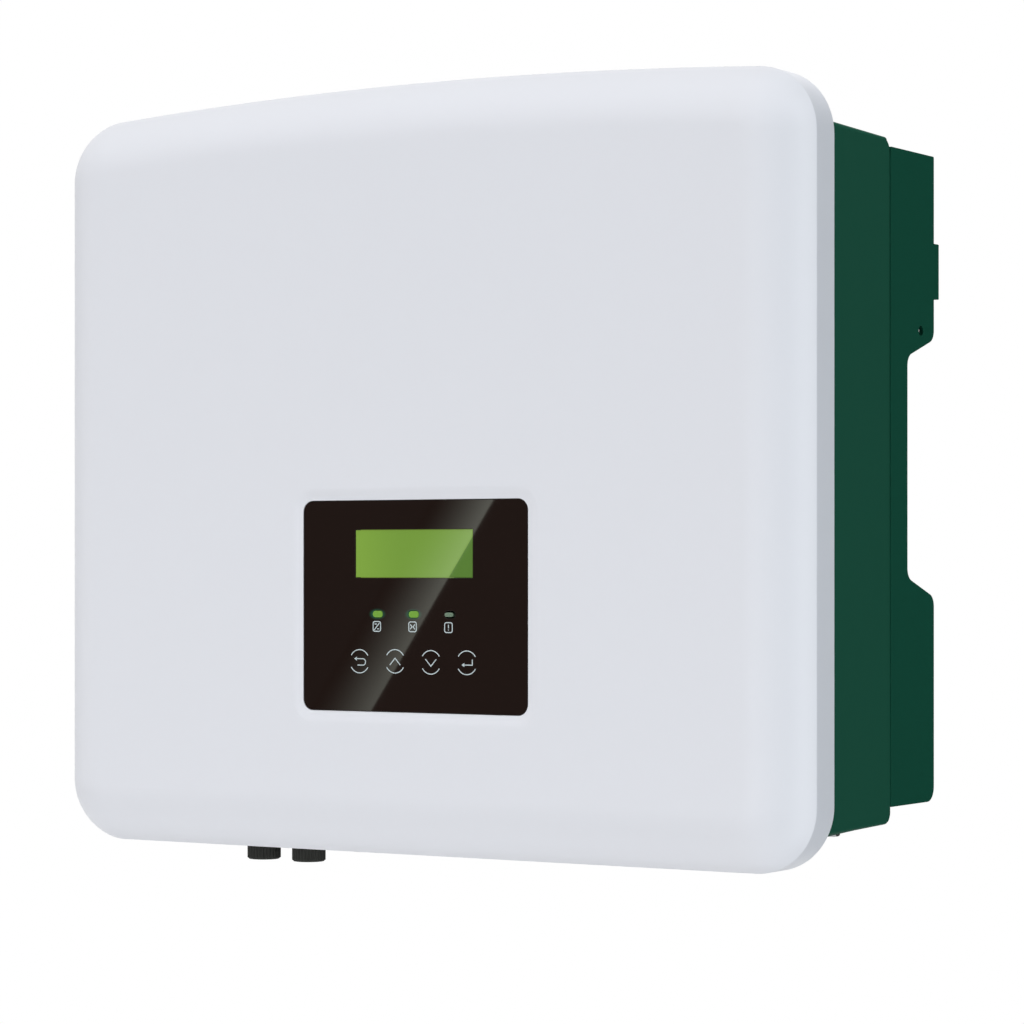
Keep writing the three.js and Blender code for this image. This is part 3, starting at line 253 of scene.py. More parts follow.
# Rotary DC switch
SWITCH_BORE_RADIUS = 0.0045
SWITCH_CORNER = 0.006
SWITCH_EDGE = 0.0008
KNOB = (
    (0.0040, 0.0175, 0.0002), (0.0155, 0.0180, 0.0004), (0.0155, 0.0168, 0.0003),
    (0.0151, 0.0164, 0.0002, 1.0), (0.0151, 0.0142, 0.0002, 1.0), (0.0145, 0.0130, 0.0006),
    (0.0040, 0.0130),
)
KNOB_RIB_COUNT = 48
KNOB_RIB_DEPTH = 0.0004 / 0.0155
SWITCH_GRIP_HEIGHT = 0.013
SWITCH_GRIP = (0.008, 0.029, 0.0039)
SWITCH_GRIP_EDGE = 0.0012
SWITCH_GRIP_DRAFT = 0.0006
SWITCH_GRIP_SINK = 0.001
POINTER = (0.0012, 0.0075, 0.0005, 4)
POINTER_SHIFT = 0.0090
POINTER_SINK = 0.0002

# The streak that the panel reflects, in pixels of the photograph, and its light
STREAK_TOP = (494, 499)
STREAK_BOTTOM = (371, 711)
STREAK_WIDTH = 62
STREAK_OVERRUN = 0.5
STREAK_ROWS = 16
STREAK_REACH = 1.9
STREAK_STRENGTH = 4.5
STREAK_FALL = 2.05
STREAK_LOW_END = 0.50
STREAK_COLOUR = (1.0, 1.06, 0.92)

# Dark and bright cards that only glossy surfaces see
FLAG_STRENGTH = 0.05
FRONT_FLAG_X = (-60, 900)
FRONT_FLAG_Y = (120, 1150)
FRONT_FLAG_REACH = 2.0
SIDE_FLAG_CENTRE = Vector((1.15, 1.45, -0.1))
SIDE_FLAG_FACES = Vector((0.24, -0.05, -0.1))
SIDE_FLAG_HALF = 1.5
RIGHT_CARD_FROM, RIGHT_CARD_TO = 74, 116
RIGHT_CARD_RISE = 45
RIGHT_CARD_DISTANCE = 2.4
RIGHT_CARD_STEPS = 6
RIGHT_CARD_STRENGTH = 3.6

# Lights: azimuth, elevation, power and colour
WHITE = (1, 1, 1)
LIGHTS = {
    "low_front": (0, -32, 21.0),
    "front": (0, -10, 12.3),
    "high_front": (0, 75, 44.0),
    "right_side": (80, 0, 19.6, (0.91, 1.0, 1.06)),
    "left_side": (-60, 0, 8.0),
    "back_left": (215, 20, 20),
    "back_right": (170, 20, 14),
}
LIGHT_CENTRE = Vector((0, -0.1, -0.1))
LIGHT_DISTANCE = 2.6
LIGHT_SIZE = 1.0
WORLD_LIGHT = 0.27

# Floor
FLOOR_RADIUS = 3.4
FLOOR_HEIGHT = -1.75
FLOOR_COLOUR = 0.8
FLOOR_LIFT = 0.22
FLOOR_FADE = (0.45, 0.95)

# How round and how fine things are
NORMAL_WEIGHT = 80
MITRE_LIMIT = 0.4
STAR_DEPTH = 0.16
TONE_SCALE = 7.0
SHEEN_SCALE = 60.0
GRAIN_DEPTH = 0.0002
SEGMENTS = 72
HOLE_STEPS = 48
LOCK_HOLE_STEPS = 32
PIN_STEPS = 24
FLOOR_STEPS = 96
SHARP_DEGREES = 32
FINE_EDGE = 0.0003
SMALL = 0.0002
CAD_EDGE = 0.0004
CAD_SHARP_DEGREES = 40
FLAT_DEGREES = 0.5
HAIR = 1e-6
NEAR = 0.00003


# Objects and meshes
def place_object(name, data):
    made = bpy.data.objects.new(name, data)
    bpy.context.scene.collection.objects.link(made)
    return made


def new_mesh(name, vertices, faces):
    mesh = bpy.data.meshes.new(name)
    mesh.from_pydata([tuple(v) for v in vertices], [], faces)
    return mesh


def add_piece(name, part, slot, replaces=(), body="inverter", sharp=SHARP_DEGREES, material=None):
    mesh = new_mesh(name, *part)
    work = bmesh.new()
    work.from_mesh(mesh)
    bmesh.ops.remove_doubles(work, verts=work.verts, dist=HAIR / 10)
    bmesh.ops.recalc_face_normals(work, faces=work.faces)
    work.to_mesh(mesh)
    work.free()
    mesh.shade_smooth()
    mesh.set_sharp_from_angle(angle=radians(sharp))
    mesh.materials.append(material or MATERIALS[slot])
    piece = place_object(name, mesh)
    weigh_normals(piece)
    if replaces:
        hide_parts(*replaces)
    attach(piece, body)


def weigh_normals(piece):
    weighted = piece.modifiers.new("normals", "WEIGHTED_NORMAL")
    weighted.keep_sharp = True
    weighted.weight = NORMAL_WEIGHT


def merge(*parts):
    vertices, faces = [], []
    for part_vertices, part_faces in parts:
        start = len(vertices)
        vertices += part_vertices
        faces += [tuple(start + i for i in face) for face in part_faces]
    return vertices, faces


def join_rings(rings, closed_ends=True):
    """The faces of a tube through rings of equal length."""
    count = len(rings[0])
    vertices = [point for ring in rings for point in ring]
    faces = []
    for ring in range(len(rings) - 1):
        for i in range(count):
            a = ring * count + i
            b = ring * count + (i + 1) % count
            faces.append((a, b, b + count, a + count))
    if closed_ends:
        last = (len(rings) - 1) * count
        faces.append(tuple(range(count)))
        faces.append(tuple(reversed(range(last, last + count))))
    return vertices, faces


# A flat outline has points (u, v) and a depth along an axis
AXES = {
    "x": lambda u, v, depth: Vector((depth, u, v)),
    "y": lambda u, v, depth: Vector((u, depth, v)),
    "z": lambda u, v, depth: Vector((u, v, depth)),
}
FLAT = {
    "x": lambda p: Vector((p.y, p.z, 0)),
    "y": lambda p: Vector((p.x, p.z, 0)),
    "z": lambda p: Vector((p.x, p.y, 0)),
}


def ring_at(outline, inset, depth, axis="y"):
    return [AXES[axis](u - inset * du, v - inset * dv, depth) for u, v, du, dv in outline]


def rings_at(outline, stations, axis="y", way=1):
    """An outline's rings at stations (inset, depth). For a hole the way is -1."""
    return [ring_at(outline, way * inset, depth, axis) for inset, depth in stations]


def fill(loops, axis="y"):
    """The flat face inside the first loop and outside the others."""
    flat = [[FLAT[axis](p) for p in loop] for loop in loops]
    return [p for loop in loops for p in loop], [tuple(t) for t in tessellate_polygon(flat)]


# Outlines: points (u, v) with their outward directions, so that an inset copy is a step inwards
def outline_arc(centre, radius, start, end, steps, first=0):
    points = []
    for i in range(first, steps + 1):
        angle = start + (end - start) * i / steps
        du, dv = cos(angle), sin(angle)
        points.append((centre[0] + radius * du, centre[1] + radius * dv, du, dv))
    return points


def circle(centre, radius, steps=SEGMENTS):
    return outline_arc(centre, radius, 0, 2 * pi, steps, 1)


def rectangle(centre, width, height, radius, steps=10):
    u = width / 2 - radius
    v = height / 2 - radius
    turn = pi / 2
    points = []
    for index, (side_u, side_v) in enumerate([(1, -1), (1, 1), (-1, 1), (-1, -1)]):
        start = (index - 1) * turn
        middle = (centre[0] + side_u * u, centre[1] + side_v * v)
        points += outline_arc(middle, radius, start, start + turn, steps)
    return points


def filleted_outline(corners, steps=8):
    """An outline from corners (u, v, radius) in anticlockwise order."""
    points = []
    for i, (u, v, radius) in enumerate(corners):
        here = Vector((u, v))
        inward = (Vector(corners[i - 1][:2]) - here).normalized()
        onward = (Vector(corners[(i + 1) % len(corners)][:2]) - here).normalized()
        half = inward.angle(onward) / 2
        middle = here + (inward + onward).normalized() * (radius / sin(half))
        start = here + inward * (radius / tan(half)) - middle
        end = here + onward * (radius / tan(half)) - middle
        from_angle = atan2(start.y, start.x)
        turn = (atan2(end.y, end.x) - from_angle + pi) % (2 * pi) - pi
        side = 1 if turn > 0 else -1
        arc = outline_arc(middle, radius, from_angle, from_angle + turn, steps)
        points += [(u, v, side * du, side * dv) for u, v, du, dv in arc]
    return points


def arched_outline():
    low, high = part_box("front_cover")
    half = high.x
    arch_radius = (half * half + COVER_ARCH_RISE ** 2) / (2 * COVER_ARCH_RISE)
    arch_centre = high.z - arch_radius
    corner_x = half - COVER_CORNER_RADIUS
    lower = low.z + COVER_CORNER_RADIUS
    upper = arch_centre + sqrt((arch_radius - COVER_CORNER_RADIUS) ** 2 - corner_x ** 2)
    end = atan2(upper - arch_centre, corner_x)
    turn = pi / 2
    radius, steps = COVER_CORNER_RADIUS, COVER_CORNER_STEPS
    points = outline_arc((corner_x, lower), radius, -turn, 0, steps)
    points += outline_arc((corner_x, upper), radius, 0, end, steps)
    points += outline_arc((0, arch_centre), arch_radius, end, pi - end, COVER_ARCH_STEPS, 1)
    points += outline_arc((-corner_x, upper), radius, pi - end, pi, steps, 1)
    points += outline_arc((-corner_x, lower), radius, pi, 3 * turn, steps)
    return points


# Solids
def edge_stations(near, far, edge, steps=3):
    """Stations (inset, depth) of a wall between two depths, with a small round at each end."""
    way = 1 if far > near else -1
    start, end = [], []
    for i in range(steps + 1):
        angle = pi / 2 * i / steps
        inset = edge * (1 - sin(angle))
        step = edge * (1 - cos(angle))
        start.append((inset, near + way * step))
        end.append((inset, far - way * step))
    return start + end[::-1]


def slab(outline, near, far, edge=FINE_EDGE, axis="y", holes=()):
    """A flat solid with small rounds on its edges, and holes that are cut through it."""
    stations = edge_stations(near, far, edge)
    loops = [rings_at(outline, stations, axis)]
    loops += [rings_at(hole, stations, axis, -1) for hole in holes]
    walls = [join_rings(rings, False) for rings in loops]
    ends = [fill([rings[k] for rings in loops], axis) for k in (0, -1)]
    return merge(*walls, *ends)


def cup_part(outline, hollow, mouth, floor, end, edge=FINE_EDGE, axis="z"):
    """A cup: an outline with a hollow that runs from its mouth to its floor, closed at its end."""
    way = 1 if end > mouth else -1
    outer = rings_at(outline, edge_stations(mouth, end, edge), axis)
    inner = rings_at(hollow, [(-edge, mouth), (0, mouth + way * edge), (0, floor)], axis)
    parts = [join_rings(outer, False), join_rings(inner, False)]
    parts += [fill([outer[0], inner[0]], axis), fill([outer[-1]], axis), fill([inner[-1]], axis)]
    return merge(*parts)


def soften(corners, steps=3):
    """Rounds the corners (radius, depth, round, share) of a profile. The share is the weight
    of the shape there."""
    profile = []
    for i, corner in enumerate(corners):
        radius, depth, fillet, share = (*corner, *(FINE_EDGE, 0.0)[len(corner) - 2:])
        here = Vector((radius, depth))
        if i in (0, len(corners) - 1) or fillet == 0:
            profile.append((radius, depth, share))
            continue
        before = Vector(corners[i - 1][:2]) - here
        after = Vector(corners[i + 1][:2]) - here
        start = here + before.normalized() * min(fillet, before.length / 2)
        end = here + after.normalized() * min(fillet, after.length / 2)
        for k in range(steps + 1):
            t = k / steps
            point = start.lerp(here, t).lerp(here.lerp(end, t), t)
            profile.append((point.x, point.y, share))
    return profile


def lathe(corners, centre, axis="z", shape=None, segments=SEGMENTS):
    """A solid turned about an axis through centre. A shape varies its radius round it."""
    rings = []
    for radius, depth, share in soften(corners):
        ring = []
        for i in range(segments):
            angle = 2 * pi * i / segments
            reach = radius * (1 + share * shape(angle)) if share else radius
            u = centre[0] + reach * cos(angle)
            v = centre[1] + reach * sin(angle)
            ring.append(AXES[axis](u, v, depth))
        rings.append(ring)
    return join_rings(rings)


def hexagon(angle):
    """How far a hexagon with corners along Y stands inside its round, as a share."""
    sixth = pi / 3
    return cos(sixth / 2) / cos((angle + sixth / 2) % sixth - sixth / 2) - 1


def ribs(count, height):
    def shape(angle):
        wave = 0.5 + 0.5 * cos(count * angle)
        return height * wave * wave * (3 - 2 * wave)
    return shape


def star(angle):
    return STAR_DEPTH * cos(6 * angle)


def ribbon_part(points, width, near, far, closed=False):
    """A flat line of even width along points (u, v) in the XZ plane, as a thin solid."""
    rings = []
    count = len(points)
    for i, (u, v) in enumerate(points):
        here = Vector((u, v))
        before = here - Vector(points[i - 1]) if i > 0 or closed else None
        after = Vector(points[(i + 1) % count]) - here if i < count - 1 or closed else None
        before = (before or after).normalized()
        after = (after or before).normalized()
        along = (before + after).normalized()
        side = Vector((-along.y, along.x)) * (width / 2 / max(MITRE_LIMIT, along.dot(after)))
        a, b = here + side, here - side
        rings.append([AXES["y"](*p, y) for p, y in ((a, near), (b, near), (b, far), (a, far))])
    if closed:
        return join_rings([*rings, rings[0]], False)
    return join_rings(rings)


def arc_points(centre, radius, start_degrees, end_degrees, steps=18):
    start, end = radians(start_degrees), radians(end_degrees)
    return [(u, v) for u, v, _, _ in outline_arc(centre, radius, start, end, steps)]


def raised(profile, base):
    """A named profile at its base."""
    return [(radius, base + depth, *rest) for radius, depth, *rest in profile]


def on_shaft(profile, base, top):
    """A named profile at its base, with a shaft of its first radius up to top."""
    return [(profile[0][0], top), *raised(profile, base)]


# Shader nodes
def feed(node, inputs):
    """Gives a node's inputs their values, or links them to the outputs of other nodes."""
    for key, value in inputs.items():
        if isinstance(value, bpy.types.NodeSocket):
            node.id_data.links.new(value, node.inputs[key])
        else:
            node.inputs[key].default_value = value


def add_node(tree, kind, inputs=None, mode=None, output=0):
    """Adds a shader node, and gives its output."""
    node = tree.nodes.new("ShaderNode" + kind)
    if mode and kind == "Mix":
        node.data_type = mode
    elif mode and kind == "MapRange":
        node.interpolation_type = mode
    elif mode and kind == "Attribute":
        node.attribute_name = mode
    elif mode:
        node.operation = mode
    feed(node, inputs or {})
    return node.outputs[output] if node.outputs else None


def object_place(tree):
    return add_node(tree, "TexCoord", output="Object")


def fade(tree, value, start, end, from_level, to_level):
    """A level that changes smoothly while a value runs from start to end."""
    levels = {"From Min": start, "From Max": end, "To Min": from_level, "To Max": to_level}
    return add_node(tree, "MapRange", {"Value": value, **levels}, "SMOOTHSTEP")


def lit(tree, kind, colour, strength):
    return add_node(tree, kind, {"Color": (*colour, 1), "Strength": strength})


def empty_tree(holder):
    """The node tree of a new material or world, with nothing in it."""
    holder.use_nodes = True
    holder.node_tree.nodes.clear()
    return holder.node_tree


def bare_material(mesh):
    """The node tree of a mesh's new material."""
    material = bpy.data.materials.new(mesh.name)
    mesh.materials.append(material)
    return empty_tree(material)


# Materials
def new_material(name, colour, roughness, metallic=0.0, specular=0.5, grain=900.0,
                 relief=0.05, tint=0.03, spread=0.04):
    """A painted or moulded surface: fine grain in its relief, slow drifts in tone and sheen."""
    material = bpy.data.materials.new(name)
    material.use_nodes = True
    tree = material.node_tree
    place = object_place(tree)

    def noise(scale, detail):
        return add_node(tree, "TexNoise", {"Scale": scale, "Detail": detail, "Vector": place})

    dark = (*[c * (1 - tint) for c in colour], 1)
    light = (*[min(1.0, c * (1 + tint)) for c in colour], 1)
    tones = {"Factor": noise(TONE_SCALE, 2.0), "A": dark, "B": light}
    sheen = {
        "Value": noise(SHEEN_SCALE, 3.0),
        "To Min": max(0.02, roughness - spread),
        "To Max": min(1.0, roughness + spread),
    }
    bump = {"Strength": relief, "Distance": GRAIN_DEPTH, "Height": noise(grain, 3.0)}
    feed(tree.nodes["Principled BSDF"], {
        "Metallic": metallic,
        "Specular IOR Level": specular,
        "Base Color": add_node(tree, "Mix", tones, "RGBA", "Result"),
        "Roughness": add_node(tree, "MapRange", sheen),
        "Normal": add_node(tree, "Bump", bump),
    })
    return material


def glow(material, colour, strength):
    """A light of the surface's own. Its strength is a number or a node's output."""
    shader = material.node_tree.nodes["Principled BSDF"]
    feed(shader, {"Emission Color": (*colour, 1), "Emission Strength": strength})


def lamp_halo(material, centres):
    """A weak light in the lens round each lit lamp, which fades with the distance from it."""
    tree = material.node_tree
    flat = add_node(tree, "VectorMath", {0: object_place(tree), 1: (HALO_SQUASH, 0, 1)}, "MULTIPLY")
    total = 0.0
    for u, v in centres:
        centre = (u * HALO_SQUASH, 0, v)
        away = add_node(tree, "VectorMath", {0: flat, 1: centre}, "DISTANCE", "Value")
        near = fade(tree, away, *HALO_REACH, HALO_STRENGTH, 0.0)
        total = add_node(tree, "Math", {0: total, 1: near}, "ADD")
    glow(material, HALO_COLOUR, total)


def backlight_and_painted_shade(material, line, left):
    """The display's own light with painted shade on it: brightest at its left, a painted falloff
    towards its right, and painted shade beyond the line of the streak that the panel reflects.
    """
    start, end = [Vector(point) for point in line]
    along = (end - start).normalized()
    across = Vector((-along.y, along.x))
    if across.x < 0:
        across = -across
    tree = material.node_tree
    place = object_place(tree)

    def fade_along(direction, start, end, from_level, to_level):
        vectors = {0: place, 1: (direction.x, 0, direction.y)}
        way = add_node(tree, "VectorMath", vectors, "DOT_PRODUCT", "Value")
        return fade(tree, way, start, end, from_level, to_level)

    edge = across.dot(start)
    # Painted shade beyond the reflected streak's line, and a painted falloff from the display's
    # left edge
    drop = fade_along(across, edge - LCD_PAINTED_SHADE_EDGE, edge + LCD_PAINTED_SHADE_EDGE, 1.0, LCD_PAINTED_SHADE)
    painted_falloff = fade_along(Vector((1, 0)), left, left + LCD_PAINTED_FALLOFF_LENGTH, 1.0, LCD_PAINTED_FALLOFF)
    glow(material, LCD_GLOW_COLOUR, add_node(tree, "Math", {0: drop, 1: painted_falloff}, "MULTIPLY"))


# Each slot's colour and roughness, and where its surface differs from the usual one
PAINT = {"specular": 0.05, "grain": 700.0, "relief": 0.10}
GLOSS = {"specular": 0.25, "relief": 0.0}
LOOKS = {
    "cover_white": ((0.718, 0.732, 0.778), 0.42, {"specular": 0.4, "relief": 0.02, "tint": 0.004}),
    "housing_green": ((0.0059, 0.0590, 0.0354), 0.55, PAINT),
    "plate_green": ((0.0022, 0.0480, 0.0284), 0.55, PAINT),
    "sink_green": ((0.0059, 0.0590, 0.0354), 0.5, {**PAINT, "specular": 0.10, "relief": 0.08}),
    "panel_black": ((0.0139, 0.0082, 0.0066), 0.012, {**GLOSS, "tint": 0.05, "spread": 0.002}),
    "lcd_green": ((0.085, 0.185, 0.035), 0.015, {**GLOSS, "tint": 0.01, "spread": 0.003}),
    "lamp_green": ((0.090, 0.200, 0.030), 0.25, {"relief": 0.02}),
    "lamp_grey": ((0.135, 0.200, 0.140), 0.4, {}),
    "black_plastic": ((0.016, 0.016, 0.015), 0.45, {"specular": 0.3, "relief": 0.2, "tint": 0.1}),
    "rubber_black": ((0.030, 0.031, 0.028), 0.7, {"specular": 0.25, "relief": 0.3, "tint": 0.15}),
    "screw_steel": ((0.42, 0.43, 0.44), 0.28, {"metallic": 1.0, "grain": 2500.0, "relief": 0.1}),
    "board_green": ((0.014, 0.102, 0.034), 0.4, {"relief": 0.1}),
    "can_dark": ((0.017, 0.030, 0.049), 0.35, {}),
    "choke_metal": ((0.27, 0.28, 0.28), 0.45, {"metallic": 0.7, "grain": 300.0, "relief": 0.3}),
}
MATERIALS = {slot: new_material(slot, *look, **more) for slot, (*look, more) in LOOKS.items()}
MARK = new_material("mark_grey", MARK_COLOUR, 0.5, relief=0.02)
glow(MATERIALS["lamp_green"], LAMP_GLOW_COLOUR, LAMP_GLOW)
glow(MARK, MARK_COLOUR, MARK_GLOW)


# CAD nodes that stay get their slot's material, and small rounds on their hard edges
def dress(piece, slot, edge):
    mesh = piece.data
    mesh.materials.clear()
    mesh.materials.append(MATERIALS[slot])
    for polygon in mesh.polygons:
        polygon.material_index = 0
    if slot == "lcd_green":  # a flat screen, so that a reflection runs on from the lens
        mesh.shade_flat()
        return
    weld = piece.modifiers.new("weld", "WELD")
    weld.merge_threshold = HAIR
    flat = piece.modifiers.new("flat", "DECIMATE")
    flat.decimate_type = "DISSOLVE"
    flat.angle_limit = radians(FLAT_DEGREES)
    bevel = piece.modifiers.new("bevel", "BEVEL")
    bevel.width = edge
    bevel.segments = 2
    bevel.limit_method = "ANGLE"
    bevel.angle_limit = radians(CAD_SHARP_DEGREES)
    mesh.shade_smooth()
    mesh.set_sharp_from_angle(angle=pi)
    weigh_normals(piece)


def dress_cad_nodes():
    for entry in frame["record"]["subparts"]:
        node = frame["nodes"][entry["node"]]
        if not node.hide_render:
            dress(node, entry["material_slot"], CAD_EDGE)


# Places of the CAD nodes
def span_of(node, axis="z"):
    """A node's centre (u, v) as seen along an axis, and its width and height there."""
    low, high = [FLAT[axis](corner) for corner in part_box(node)]
    return ((low.x + high.x) / 2, (low.y + high.y) / 2), high.x - low.x, high.y - low.y


def socket_place(node):
    """A node's centre (x, y), and the heights of its lower and upper end."""
    low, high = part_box(node)
    return span_of(node)[0], low.z, high.z


# Front cover
def cover_edge(front, offset):
    """Stations (inset, depth) from face to side wall: a wide arc, then a tight one at a crease."""
    turn = radians(COVER_EDGE_TURN_DEGREES)
    tight = COVER_CREASE_RADIUS
    wide = (COVER_EDGE_DEPTH - tight * cos(turn)) / (1 - cos(turn))
    span = (wide - tight) * sin(turn) + tight
    arcs = [(wide, span, wide, 0.0, turn, COVER_EDGE_STEPS)]
    arcs.append((tight, tight, COVER_EDGE_DEPTH, turn, pi / 2, COVER_CREASE_STEPS))
    stations = []
    for radius, middle_inset, middle_depth, start, end, steps in arcs:
        middle = (middle_inset, front + middle_depth)
        start, end, first = -pi / 2 - start, -pi / 2 - end, 1 if stations else 0
        arc = outline_arc(middle, radius - offset, start, end, steps, first)
        stations += [(inset, depth) for inset, depth, _, _ in arc]
    return stations


def cover_rim(rear, inset, way):
    """Stations of the small round at the cover's rear rim."""
    bulge = COVER_RIM_BULGE * COVER_RIM_ROUND
    steps = ((0.0, COVER_RIM_ROUND), (bulge, bulge), (COVER_RIM_ROUND, 0.0))
    return [(inset + way * inwards, rear - back) for inwards, back in steps]


def front_cover():
    low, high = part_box("front_cover")
    front, rear = low.y, high.y
    outer = cover_edge(front, 0.0) + cover_rim(rear, 0.0, 1)
    inner = cover_edge(front, COVER_WALL) + cover_rim(rear, COVER_WALL, -1)
    outline = arched_outline()
    rings = rings_at(outline, outer + inner[::-1])
    centre, width, height = span_of("display_lens", "y")
    gap = PANEL_GAP
    panel = rectangle(centre, width + 2 * gap, height + 2 * gap, PANEL_CORNER_RADIUS + gap)
    slope = []
    for i in range(DISH_STEPS + 1):
        share = i / DISH_STEPS
        ease = share * share * (3 - 2 * share)
        slope.append((-DISH_MARGIN * (1 - share), front + DISH_DEPTH * ease))
    dish = rings_at(panel, [*slope, (0.0, front + COVER_WALL)])
    walls = [join_rings(rings, False), join_rings(dish, False)]
    part = merge(*walls, fill([rings[0], dish[0]]), fill([rings[-1], dish[-1]]))
    add_piece("cover_shell", part, "cover_white", ["front_cover"], sharp=COVER_SHARP_DEGREES)


# Display panel
def pixel_ray(px, py):
    """The direction from the camera through a pixel of the photograph."""
    focal = CAMERA_LENS / CAMERA_SENSOR * IMAGE_SIZE
    turn = radians(CAMERA_TURN_DEGREES)
    forward = Vector((-sin(turn), cos(turn), 0))
    right = Vector((cos(turn), sin(turn), 0))
    across = (px - IMAGE_SIZE / 2) / focal
    up = (IMAGE_SIZE / 2 - py) / focal + CAMERA_SHIFT * IMAGE_SIZE / focal
    return (forward + across * right + up * Vector((0, 0, 1))).normalized()


def point_on_panel(px, py):
    """The point (u, v) on the panel's face behind a pixel of the photograph."""
    place = Vector(CAMERA_PLACE)
    ray = pixel_ray(px, py)
    hit = place + ray * ((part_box("display_lens")[0].y - place.y) / ray.y)
    return hit.x, hit.z


def long_round(centre, width, height):
    """A rectangle whose short ends are half circles."""
    return rectangle(centre, width, height, height / 2 - HAIR, 8)


def display_lens():
    low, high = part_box("display_lens")
    outline = rectangle(*span_of("display_lens", "y"), PANEL_CORNER_RADIUS)
    centre, width, height = span_of("lcd_module", "y")
    spare = 2 * (PANEL_GAP - LCD_RIM)
    holes = [rectangle(centre, width + spare, height + spare, LCD_CORNER_RADIUS, 3)]
    for node in LAMP_NODES:
        centre, width, height = span_of(node, "y")
        holes.append(long_round(centre, width + 2 * LAMP_CLEARANCE, height + 2 * LAMP_CLEARANCE))
    part = slab(outline, low.y, high.y, LENS_EDGE, holes=holes)
    add_piece("lens_plate", part, "panel_black", ["display_lens"], sharp=LENS_SHARP_DEGREES)
    lamp_halo(MATERIALS["panel_black"], [span_of(node, "y")[0] for node in LAMP_NODES[:2]])
    # The line of the reflected streak, beyond which the display gets painted shade
    line = [point_on_panel(*pixel) for pixel in (STREAK_TOP, STREAK_BOTTOM)]
    backlight_and_painted_shade(MATERIALS["lcd_green"], line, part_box("lcd_module")[0].x)


def lamps():
    for node in LAMP_NODES:
        low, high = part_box(node)
        outline = long_round(*span_of(node, "y"))
        slot = "lamp_green"
        if node == "led_pipe_right":
            u, v = span_of(node, "y")[0]
            outline = long_round((u - UNLIT_LAMP_SHIFT, v), UNLIT_LAMP_WIDTH, UNLIT_LAMP_HEIGHT)
            slot = "lamp_grey"
        part = slab(outline, low.y, high.y, LAMP_EDGE)
        add_piece(node.replace("led_pipe", "lamp"), part, slot, [node])


def marks():
    """Touch keys and status signs printed on the lens."""
    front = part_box("display_lens")[0].y
    near, far = front - MARK_LIFT, front
    start, end = KEY_ARC_DEGREES
    lines = [arc_points(c, KEY_RADIUS, start + t, end + t) for c in KEY_CENTRES for t in (0, 180)]

    def stroke(centre, *points):  # points in millimetres from the centre
        return [(centre[0] + u / 1000, centre[1] + v / 1000) for u, v in points]

    back, up, down, enter = KEY_CENTRES
    grid, battery, fault = ICON_CENTRES
    middle = (back[0] + RETURN_BEND_CENTRE[0], back[1] + RETURN_BEND_CENTRE[1])
    bend = arc_points(middle, RETURN_BEND_RADIUS, 90, -90, 12)
    lines += [
        stroke(back, (-2.2, 1.4)) + bend + stroke(back, (-1.3, -2.1)),
        stroke(up, (-3.4, -2.0), (0, 1.7), (3.4, -2.0)),
        stroke(down, (-3.5, 1.7), (0, -2.1), (3.5, 1.7)),
        stroke(enter, (3.5, 1.8), (3.5, -1.2), (-2.0, -1.2)),
        stroke(grid, (-1.7, -1.9), (1.7, 1.9)),
        stroke(grid, (-1.5, 1.3), (-0.1, 1.3)),
        stroke(grid, (0.2, -1.3), (1.5, -1.3)),
        stroke(battery, (-1.5, 1.3), (-0.35, 0), (-1.5, -1.3)),
        stroke(battery, (1.5, 1.3), (0.35, 0), (1.5, -1.3)),
        stroke(fault, (0, 1.5), (0, -0.4)),
        stroke(fault, (0, -1.0), (0, -1.5)),
    ]
    parts = [ribbon_part(points, MARK_LINE, near, far) for points in lines]
    for centre in ICON_CENTRES:
        box = rectangle(centre, ICON_WIDTH, ICON_HEIGHT, ICON_CORNER, 4)
        parts.append(ribbon_part([(u, v) for u, v, _, _ in box], MARK_LINE, near, far, True))
    for (key_u, key_v), (tip_u, tip_v) in zip((back, enter), ARROW_TIPS):
        u, v = key_u + tip_u, key_v + tip_v
        sides = [(u + ARROW_LENGTH, v + side * ARROW_HALF_WIDTH) for side in (-1, 1)]
        head = [(u, v), *sides]
        parts.append(join_rings([[AXES["y"](*p, y) for p in head] for y in (near, far)]))
    add_piece("panel_marks", merge(*parts), "cover_white", material=MARK)


